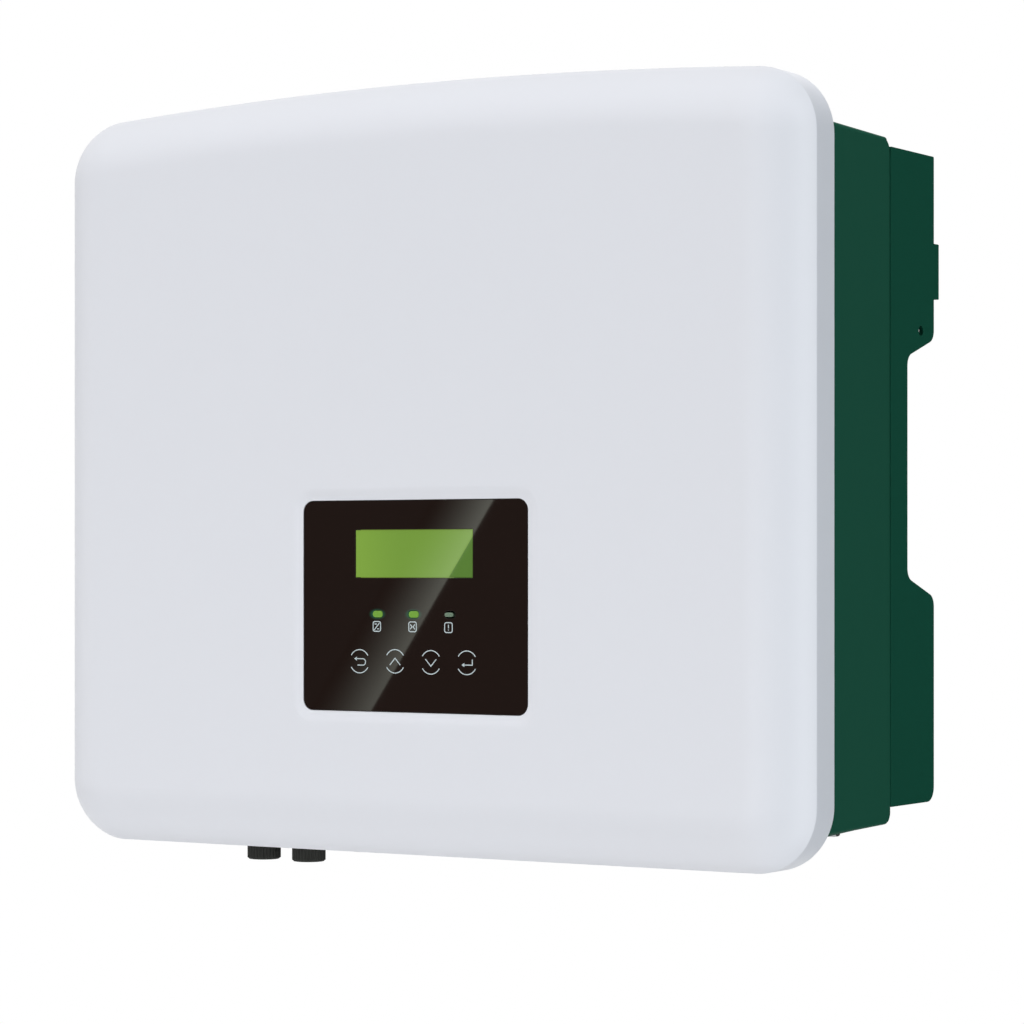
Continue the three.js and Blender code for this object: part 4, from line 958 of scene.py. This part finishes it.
# Main housing
def housing_tub():
    """The housing with crisp upright edges at its rear, a wider round at its top rear edge
    and sloped ends on its land."""
    mesh = frame["nodes"]["main_housing"].data.copy()
    mesh.name = "housing_tub"
    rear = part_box("main_housing")[1].y
    old = HOUSING_REAR_RADIUS
    start = [v.co for v in mesh.vertices if abs(v.co.y - rear + old) < NEAR]
    half = max(co.x for co in start)
    top = max(co.z for co in start)
    bottom = min(co.z for co in start)
    corner = half - max(co.x for co in start if co.z > top - NEAR)
    land = min(v.co.z for v in mesh.vertices if abs(abs(v.co.x) - LAND_END) < NEAR)
    for vertex in mesh.vertices:
        co = vertex.co
        if abs(abs(co.x) - LAND_END) < NEAR and co.z < land + NEAR and co.y > LAND_MIDDLE:
            co.x = copysign(LAND_END - LAND_SLOPE, co.x)
        if co.y < rear - old + NEAR:
            continue
        turned = asin(min(1.0, 1 - (rear - co.y) / old))
        inset = old * (1 - cos(turned))
        upper = co.z > (top + bottom) / 2
        from_x = abs(co.x) - (half - corner)
        from_z = co.z - (top - corner) if upper else bottom + corner - co.z
        left = corner - inset
        out_x, out_z = from_x / left, from_z / left
        at_corner = abs(hypot(out_x, out_z) - 1) < CORNER_SLACK
        at_side = from_z < NEAR and abs(from_x - left) < NEAR
        at_end = from_x < NEAR and abs(from_z - left) < NEAR
        if at_corner or at_side:
            co.x = copysign(half - corner * (1 - min(1.0, out_x)), co.x)
        if at_corner or at_end:
            drop = corner * (1 - min(1.0, out_z))
            wide = HOUSING_TOP_REAR_RADIUS / old
            co.z = top - wide * inset - drop if upper else bottom + inset + drop
        if upper and (at_corner or at_side or at_end):
            co.y = rear - HOUSING_TOP_REAR_RADIUS * (1 - sin(turned))
    work = bmesh.new()
    work.from_mesh(mesh)
    bmesh.ops.remove_doubles(work, verts=work.verts, dist=HAIR)
    bmesh.ops.dissolve_degenerate(work, dist=NEAR, edges=work.edges)
    work.to_mesh(mesh)
    work.free()
    piece = place_object("housing_tub", mesh)
    dress(piece, "housing_green", HOUSING_EDGE)
    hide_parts("main_housing")
    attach(piece, "inverter")


# Side plates
def side_plates():
    for side, name in ((-1, "left"), (1, "right")):
        node = "side_plate_" + name
        low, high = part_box(node)
        front, rear, bottom, top = low.y - PLATE_REACH, high.y, low.z, high.z
        floor = rear - GRIP_DEPTH
        half = GRIP_LENGTH / 2
        low_end, high_end = -GRIP_DROP - half, -GRIP_DROP + half
        web = filleted_outline([
            (front, bottom, PLATE_FOLD_CORNER), (rear, bottom, PLATE_CORNER),
            (rear, low_end - GRIP_FLARE, GRIP_RADIUS), (floor, low_end, GRIP_RADIUS),
            (floor, high_end, GRIP_RADIUS), (rear, high_end + GRIP_FLARE, GRIP_RADIUS),
            (rear, top, PLATE_FOLD_CORNER), (front, top, PLATE_FOLD_CORNER),
        ])
        place = (rear - LOCK_HOLE_FROM_EDGE, -LOCK_HOLE_DROP)
        hole = circle(place, LOCK_HOLE_RADIUS, LOCK_HOLE_STEPS)
        outer = high.x if side > 0 else low.x
        inner = outer - side * PLATE_THICKNESS
        panel = slab(web, outer, inner, PLATE_EDGE, "x", [hole])
        fold = outer - side * PLATE_THICKNESS / 2
        end = inner - side * PLATE_FLANGE
        centre = ((fold + end) / 2, (bottom + top) / 2)
        height = top - bottom - 2 * PLATE_THICKNESS
        outline = rectangle(centre, abs(fold - end), height, PLATE_FOLD_CORNER, 4)
        near, far = front + PLATE_FLANGE_LIFT, front + PLATE_THICKNESS
        part = merge(panel, slab(outline, near, far, PLATE_EDGE))
        add_piece(name + "_plate_panel", part, "plate_green", [node])


# Sockets and caps
def round_socket(name, radii):
    centre, end, top = socket_place(name)
    stem, collar, nose, bore = radii.values()
    seat = top - STEM_LENGTH
    collar_end = seat - COLLAR_THICKNESS
    flat = collar * COLLAR_FLAT
    tip, step = nose - NOSE_LIP, end + NOSE_STEP
    profile = [
        (stem, top), (stem, seat, SMALL), (flat, seat, SMALL),
        (collar, seat - COLLAR_CHAMFER, SMALL, 1.0),
        (collar, collar_end + COLLAR_CHAMFER, SMALL, 1.0),
        (flat, collar_end, SMALL), (nose, collar_end, SMALL),
        (nose, step + NOSE_LIP), (tip, step), (tip, end),
        (bore + NOSE_LIP, end), (bore, end + NOSE_LIP),
        (bore, end + BORE_DEPTH), (bore / 2, end + BORE_DEPTH),
    ]
    part = lathe(profile, centre, shape=hexagon)
    add_piece(name + "_body", part, "black_plastic", [name])
    pin = lathe(on_shaft(PIN, end, end + PIN_LENGTH), centre, segments=PIN_STEPS)
    add_piece(name + "_pin", pin, "screw_steel")


def add_cap(name, nose, rim, end, rib_sizes):
    """A cap on its own body, turned from a hollow, a rim and an end, with ribs round it."""
    centre, bottom, top = socket_place(name)
    bore = nose + SLIDE_GAP
    outer = bore + CAP_WALL
    floor = bottom + CAP_FLOOR
    profile = [(bore * 0.5, floor), (bore, floor, FINE_EDGE), (bore, top, SMALL)]
    profile += [(outer + out, top - down, *rest) for out, down, *rest in rim]
    profile += [(outer * share, bottom + up, *rest) for share, up, *rest in end]
    count, height = rib_sizes
    part = lathe(profile, centre, "z", ribs(count, height / outer), count * 8)
    add_piece(name + "_cup", part, "rubber_black", [name], name + "_body")


def grid_socket(name):
    centre, end, top = socket_place(name)
    stem, nose, bore = GRID_RADII.values()
    seat = top - STEM_LENGTH
    flange_end = seat - GRID_FLANGE_THICKNESS
    outline = rectangle(centre, GRID_FLANGE_WIDTH, GRID_FLANGE_WIDTH, GRID_FLANGE_RADIUS)
    flange = slab(outline, flange_end, seat, GRID_FLANGE_EDGE, "z")
    shoulder, sunk = nose + GRID_SHOULDER, seat - GRID_SINK
    profile = [
        (stem, top), (stem, sunk), (shoulder, sunk),
        (shoulder, flange_end - GRID_SHOULDER_DROP, GRID_ROUND),
        (nose, flange_end - GRID_SHOULDER), (nose, end, GRID_ROUND), (bore, end, GRID_BORE_ROUND),
        (bore, end + BORE_DEPTH), (bore / 2, end + BORE_DEPTH),
    ]
    part = merge(flange, lathe(profile, centre))
    add_piece(name + "_body", part, "black_plastic", [name])
    reach = GRID_FLANGE_WIDTH / 2 - GRID_SCREW_INSET
    heads = corner_heads(centre, reach, reach, flange_end, GRID_SCREW)
    add_piece(name + "_screws", heads, "screw_steel")


# Screw heads
def pan_head(centre, seat, way, radius, height, axis, shank=0.0):
    """A pan head with a six-lobed recess, which rises from its seat along the axis by way."""
    corners = [(radius, seat)]
    if shank:
        root = radius * PAN_ROOT
        corners = [(root, seat - way * shank), (root, seat, SMALL), (radius, seat, SMALL)]
    up = way * height
    corners += [(radius * out, seat + up * rise, radius * turn) for out, rise, turn in PAN_DOME]
    for out, rise, weight in PAN_RECESS:
        corners.append((radius * out, seat + up * rise, PAN_RECESS_ROUND, weight))
    return lathe(corners, centre, axis, star, HOLE_STEPS)


def corner_heads(centre, reach_u, reach_v, seat, sizes):
    """Four pan heads of a radius and a height, near the corners of a face that looks down."""
    places = [
        (centre[0] + u, centre[1] + v) for u in (-reach_u, reach_u) for v in (-reach_v, reach_v)
    ]
    return merge(*[pan_head(place, seat + SCREW_SINK, -1, *sizes, "z") for place in places])


def screws():
    names = ["cover_screw_%d" % (i + 1) for i in range(6)]
    names += [side + "_plate_screw_%d" % (i + 1) for side in ("left", "right") for i in range(3)]
    for name in names:
        low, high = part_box(name)
        seat = high.y - PAN_HEIGHT
        centre = span_of(name, "y")[0]
        part = pan_head(centre, seat, 1, PAN_RADIUS, PAN_HEIGHT, "y", seat - low.y)
        add_piece(name + "_pan", part, "screw_steel", [name])


def hexagon_head(name, head, seat, slot):
    centre, _, top = socket_place(name)
    part = lathe(on_shaft(head, seat, top), centre, shape=hexagon)
    add_piece(name + "_hex", part, slot, [name])


# Communication cover
def comm_cover():
    low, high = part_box("comm_cover")
    centre, width, depth = span_of("comm_cover")
    lid_end = high.z - LID_DROP
    plugs = ("comm_plug_1", "comm_plug_2")
    places = [span_of(name)[0] for name in plugs]
    bores = [circle(place, PORT_RADIUS, HOLE_STEPS) for place in places]
    outline = rectangle(centre, width, depth, LID_CORNER)
    parts = [slab(outline, lid_end, high.z, LID_EDGE, "z", bores)]
    for place in places:
        rim, bore = [circle(place, radius, HOLE_STEPS) for radius in (RIM_RADIUS, RIM_BORE_RADIUS)]
        parts.append(slab(rim, low.z, lid_end + RIM_SINK, RIM_EDGE, "z", [bore]))
    add_piece("comm_lid", merge(*parts), "black_plastic", ["comm_cover"])
    reach_u, reach_v = width / 2 - LID_SCREW_INSET, depth / 2 - LID_SCREW_INSET
    heads = corner_heads(centre, reach_u, reach_v, lid_end, LID_SCREW)
    add_piece("comm_lid_screws", heads, "screw_steel")
    for name in plugs:
        centre, bottom, top = socket_place(name)
        part = lathe(on_shaft(PLUG_HEAD, bottom, top), centre)
        add_piece(name + "_stopper", part, "rubber_black", [name], name + "_body")


# Monitoring port
def monitor_port():
    centre, end, top = socket_place("monitor_port")
    seat = top - STEM_LENGTH
    stem_sink, shell_sink = MONITOR_SINK
    stem = lathe([(MONITOR_STEM_RADIUS, top), (MONITOR_STEM_RADIUS, seat - stem_sink)], centre)
    flange = lathe(raised(MONITOR_FLANGE, seat), centre)
    shell_outline, mouth = rectangle(centre, *MONITOR_SHELL), rectangle(centre, *MONITOR_MOUTH)
    shell = cup_part(shell_outline, mouth, end, end + MONITOR_DEPTH, seat - shell_sink)
    outline = rectangle((centre[0], centre[1] - MONITOR_TONGUE_SHIFT), *MONITOR_TONGUE)
    tongue = slab(outline, *[end + height for height in MONITOR_TONGUE_ENDS], SMALL, "z")
    part = merge(stem, flange, shell, tongue)
    add_piece("monitor_port_body", part, "black_plastic", ["monitor_port"])


def monitor_cap():
    centre, bottom, top = socket_place("monitor_cap")
    _, width, depth = span_of("monitor_cap")
    corner, hollow_corner = MONITOR_CAP_CORNERS
    outline = rectangle(centre, width, depth, corner, 6)
    hollow = rectangle(centre, width - 2 * CAP_WALL, depth - 2 * CAP_WALL, hollow_corner, 4)
    part = cup_part(outline, hollow, top, bottom + CAP_FLOOR, bottom, MONITOR_CAP_EDGE)
    add_piece("monitor_cap_cup", part, "rubber_black", ["monitor_cap"], "monitor_cap_body")


# Rotary DC switch
def dc_switch():
    low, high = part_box("dc_switch_plate")
    centre, size, _ = span_of("dc_switch_plate", "x")
    bore = circle(centre, SWITCH_BORE_RADIUS, HOLE_STEPS)
    outline = rectangle(centre, size, size, SWITCH_CORNER)
    part = slab(outline, low.x, high.x, SWITCH_EDGE, "x", [bore])
    add_piece("dc_switch_face", part, "black_plastic", ["dc_switch_plate"])
    low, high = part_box("dc_switch_knob")
    front = low.x + SWITCH_GRIP_HEIGHT
    shape = ribs(KNOB_RIB_COUNT, -KNOB_RIB_DEPTH)
    profile = on_shaft(KNOB, low.x, high.x)
    base = lathe(profile, centre, "x", shape, KNOB_RIB_COUNT * 8)
    outline = rectangle(centre, *SWITCH_GRIP)
    tip = low.x + MARK_LIFT
    stations = edge_stations(tip, front + SWITCH_GRIP_SINK, SWITCH_GRIP_EDGE, 4)
    slope = SWITCH_GRIP_DRAFT / SWITCH_GRIP_HEIGHT
    drafted = [(inset + slope * (front - depth), depth) for inset, depth in stations]
    rings = rings_at(outline, drafted, "x")
    grip = merge(join_rings(rings, False), fill([rings[0]], "x"), fill([rings[-1]], "x"))
    part = merge(base, grip)
    add_piece("dc_switch_handle", part, "black_plastic", ["dc_switch_knob"], "dc_switch")
    outline = rectangle((centre[0], centre[1] + POINTER_SHIFT), *POINTER)
    pointer = slab(outline, low.x, tip + POINTER_SINK, MARK_LIFT / 2, "x")
    add_piece("dc_switch_pointer", pointer, "cover_white", body="dc_switch", material=MARK)


# Camera, light and stage
def mirrored_point(px, py, reach):
    """Where the reflection in the panel at a pixel comes from, at a depth in front of the panel."""
    u, v = point_on_panel(px, py)
    ray = pixel_ray(px, py)
    away = Vector((ray.x, -ray.y, ray.z))
    return AXES["y"](u, v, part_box("display_lens")[0].y) + away * (reach / -away.y)


def add_camera():
    camera = bpy.data.cameras.new("camera")
    camera.sensor_width = CAMERA_SENSOR
    camera.lens = CAMERA_LENS
    camera.shift_y = CAMERA_SHIFT
    camera.clip_start, camera.clip_end = CAMERA_CLIP
    holder = place_object("camera", camera)
    holder.location = CAMERA_PLACE
    holder.rotation_euler = (pi / 2, 0, radians(CAMERA_TURN_DEGREES))
    bpy.context.scene.camera = holder


def round_about(azimuth, elevation, distance):
    """A place round the object: azimuth 0 is in front of it and 90 on its right."""
    turn, rise = radians(azimuth), radians(elevation)
    away = (sin(turn) * cos(rise), -cos(turn) * cos(rise), sin(rise))
    return LIGHT_CENTRE + Vector(away) * distance


def area_light(name, azimuth, elevation, power, colour=WHITE):
    light = bpy.data.lights.new(name, "AREA")
    light.shape = "SQUARE"
    light.size = LIGHT_SIZE
    light.energy = power
    light.color = colour
    holder = place_object(name, light)
    holder.location = round_about(azimuth, elevation, LIGHT_DISTANCE)
    holder.visible_glossy = False
    direction = LIGHT_CENTRE - holder.location
    holder.rotation_euler = direction.to_track_quat("-Z", "Y").to_euler()


def gloss_card(name, rows, strength_of, colour=WHITE, ends=(1, 1)):
    """A studio card that only glossy surfaces see. Its brightness varies from row to row
    and from end to end."""
    last = len(rows) - 1
    faces = [(2 * i, 2 * i + 1, 2 * i + 3, 2 * i + 2) for i in range(last)]
    mesh = new_mesh(name, [p for row in rows for p in row], faces)
    fade_out = mesh.attributes.new("fade", "FLOAT", "POINT")
    for i in range(last + 1):
        for k in (0, 1):
            fade_out.data[2 * i + k].value = strength_of(i / last) * ends[k]
    tree = bare_material(mesh)
    strength = add_node(tree, "Attribute", mode="fade", output="Fac")
    light = lit(tree, "Emission", colour, strength)
    add_node(tree, "OutputMaterial", {"Surface": light})
    card = place_object(name, mesh)
    card.visible_camera = False
    card.visible_diffuse = False
    card.visible_transmission = False
    card.visible_volume_scatter = False
    card.visible_shadow = False


def streak_light(share):
    return STREAK_STRENGTH * (1 - share) ** STREAK_FALL


def panel_reflection():
    """The window-like streak across the panel: sharp on its right, fading to its left."""
    top, bottom = Vector(STREAK_TOP), Vector(STREAK_BOTTOM)
    over = (top - bottom) * STREAK_OVERRUN
    rows = []
    for i in range(STREAK_ROWS + 1):
        left = Vector((STREAK_WIDTH * i / STREAK_ROWS, 0))
        ends = (top + over - left, bottom - over - left)
        rows.append([mirrored_point(*end, STREAK_REACH) for end in ends])
    gloss_card("streak_card", rows, streak_light, STREAK_COLOUR, (1, STREAK_LOW_END))
    x, y, reach = FRONT_FLAG_X, FRONT_FLAG_Y, FRONT_FLAG_REACH
    rows = [[mirrored_point(px, py, reach) for py in y] for px in x]
    gloss_card("front_flag", rows, lambda share: FLAG_STRENGTH)


def side_flag():
    """A dark card that the green side reflects."""
    centre = SIDE_FLAG_CENTRE
    across = (SIDE_FLAG_FACES - centre).cross(Vector((0, 0, 1))).normalized() * SIDE_FLAG_HALF
    up = Vector((0, 0, SIDE_FLAG_HALF))
    rows = [[centre + side - up, centre + side + up] for side in (-across, across)]
    gloss_card("side_flag", rows, lambda share: FLAG_STRENGTH)


def right_card():
    """A bright card at the right, which the cover's right round reflects softly."""
    rows = []
    for step in range(RIGHT_CARD_STEPS + 1):
        azimuth = RIGHT_CARD_FROM + (RIGHT_CARD_TO - RIGHT_CARD_FROM) * step / RIGHT_CARD_STEPS
        heights = (-RIGHT_CARD_RISE, RIGHT_CARD_RISE)
        rows.append([round_about(azimuth, rise, RIGHT_CARD_DISTANCE) for rise in heights])
    gloss_card("right_card", rows, lambda share: RIGHT_CARD_STRENGTH)


def mixed(tree, share, first, second):
    return add_node(tree, "MixShader", {"Fac": share, 1: first, 2: second})


def set_world():
    """Full white where the world is seen, mirrored or shines through, and softer as a light."""
    world = bpy.data.worlds.new("studio")
    bpy.context.scene.world = world
    tree = empty_tree(world)
    seen = add_node(tree, "LightPath", output="Is Camera Ray")
    for kind in ("Is Glossy Ray", "Is Transmission Ray"):
        ray = add_node(tree, "LightPath", output=kind)
        seen = add_node(tree, "Math", {0: seen, 1: ray}, "MAXIMUM")
    soft, full = [lit(tree, "Background", WHITE, strength) for strength in (WORLD_LIGHT, 1.0)]
    add_node(tree, "OutputWorld", {"Surface": mixed(tree, seen, soft, full)})


def add_floor():
    """A pale round floor well below the object, which keeps its shadow and fades into the white."""
    outline = circle((0, 0), FLOOR_RADIUS, FLOOR_STEPS)
    mesh = new_mesh("floor", *fill([ring_at(outline, 0, FLOOR_HEIGHT, "z")], "z"))
    tree = bare_material(mesh)
    matt = add_node(tree, "BsdfDiffuse", {"Color": (*[FLOOR_COLOUR] * 3, 1)})
    lift = lit(tree, "Emission", WHITE, FLOOR_LIFT)
    lifted = add_node(tree, "AddShader", {0: matt, 1: lift})
    clear = add_node(tree, "BsdfTransparent")
    shown = mixed(tree, add_node(tree, "LightPath", output="Is Camera Ray"), matt, lifted)
    points = {0: object_place(tree), 1: (0, 0, FLOOR_HEIGHT)}
    away = add_node(tree, "VectorMath", points, "DISTANCE", "Value")
    start, end = [FLOOR_RADIUS * share for share in FLOOR_FADE]
    edge = fade(tree, away, start, end, 0.0, 1.0)
    add_node(tree, "OutputMaterial", {"Surface": mixed(tree, edge, shown, clear)})
    floor = place_object("floor", mesh)


add_camera()
front_cover()
display_lens()
lamps()
marks()
housing_tub()
side_plates()
for number in "1234":
    round_socket("pv_socket_" + number, PV_RADII)
    add_cap("pv_cap_" + number, PV_RADII["nose"], CAP_RIM, PV_CAP_END, CAP_RIBS)
for number in "12":
    round_socket("battery_socket_" + number, BATTERY_RADII)
    nose = BATTERY_RADII["nose"]
    add_cap("battery_cap_" + number, nose, CAP_RIM, BATTERY_CAP_END, CAP_RIBS)
for use in ("grid", "backup"):
    grid_socket(use + "_socket")
    add_cap(use + "_cap", GRID_RADII["nose"], GRID_CAP_RIM, GRID_CAP_END, GRID_CAP_RIBS)
comm_cover()
monitor_port()
monitor_cap()
hexagon_head("vent_plug", VENT_HEAD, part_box("vent_plug")[0].z, "black_plastic")
for name in ("ground_screw_1", "ground_screw_2"):
    hexagon_head(name, GROUND_HEAD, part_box(name)[0].z + GROUND_SEAT, "screw_steel")
screws()
dc_switch()
dress_cad_nodes()

set_world()
add_floor()
panel_reflection()
side_flag()
right_card()
for name, settings in LIGHTS.items():
    area_light(name, *settings)

bpy.context.scene.view_settings.view_transform = "Standard"
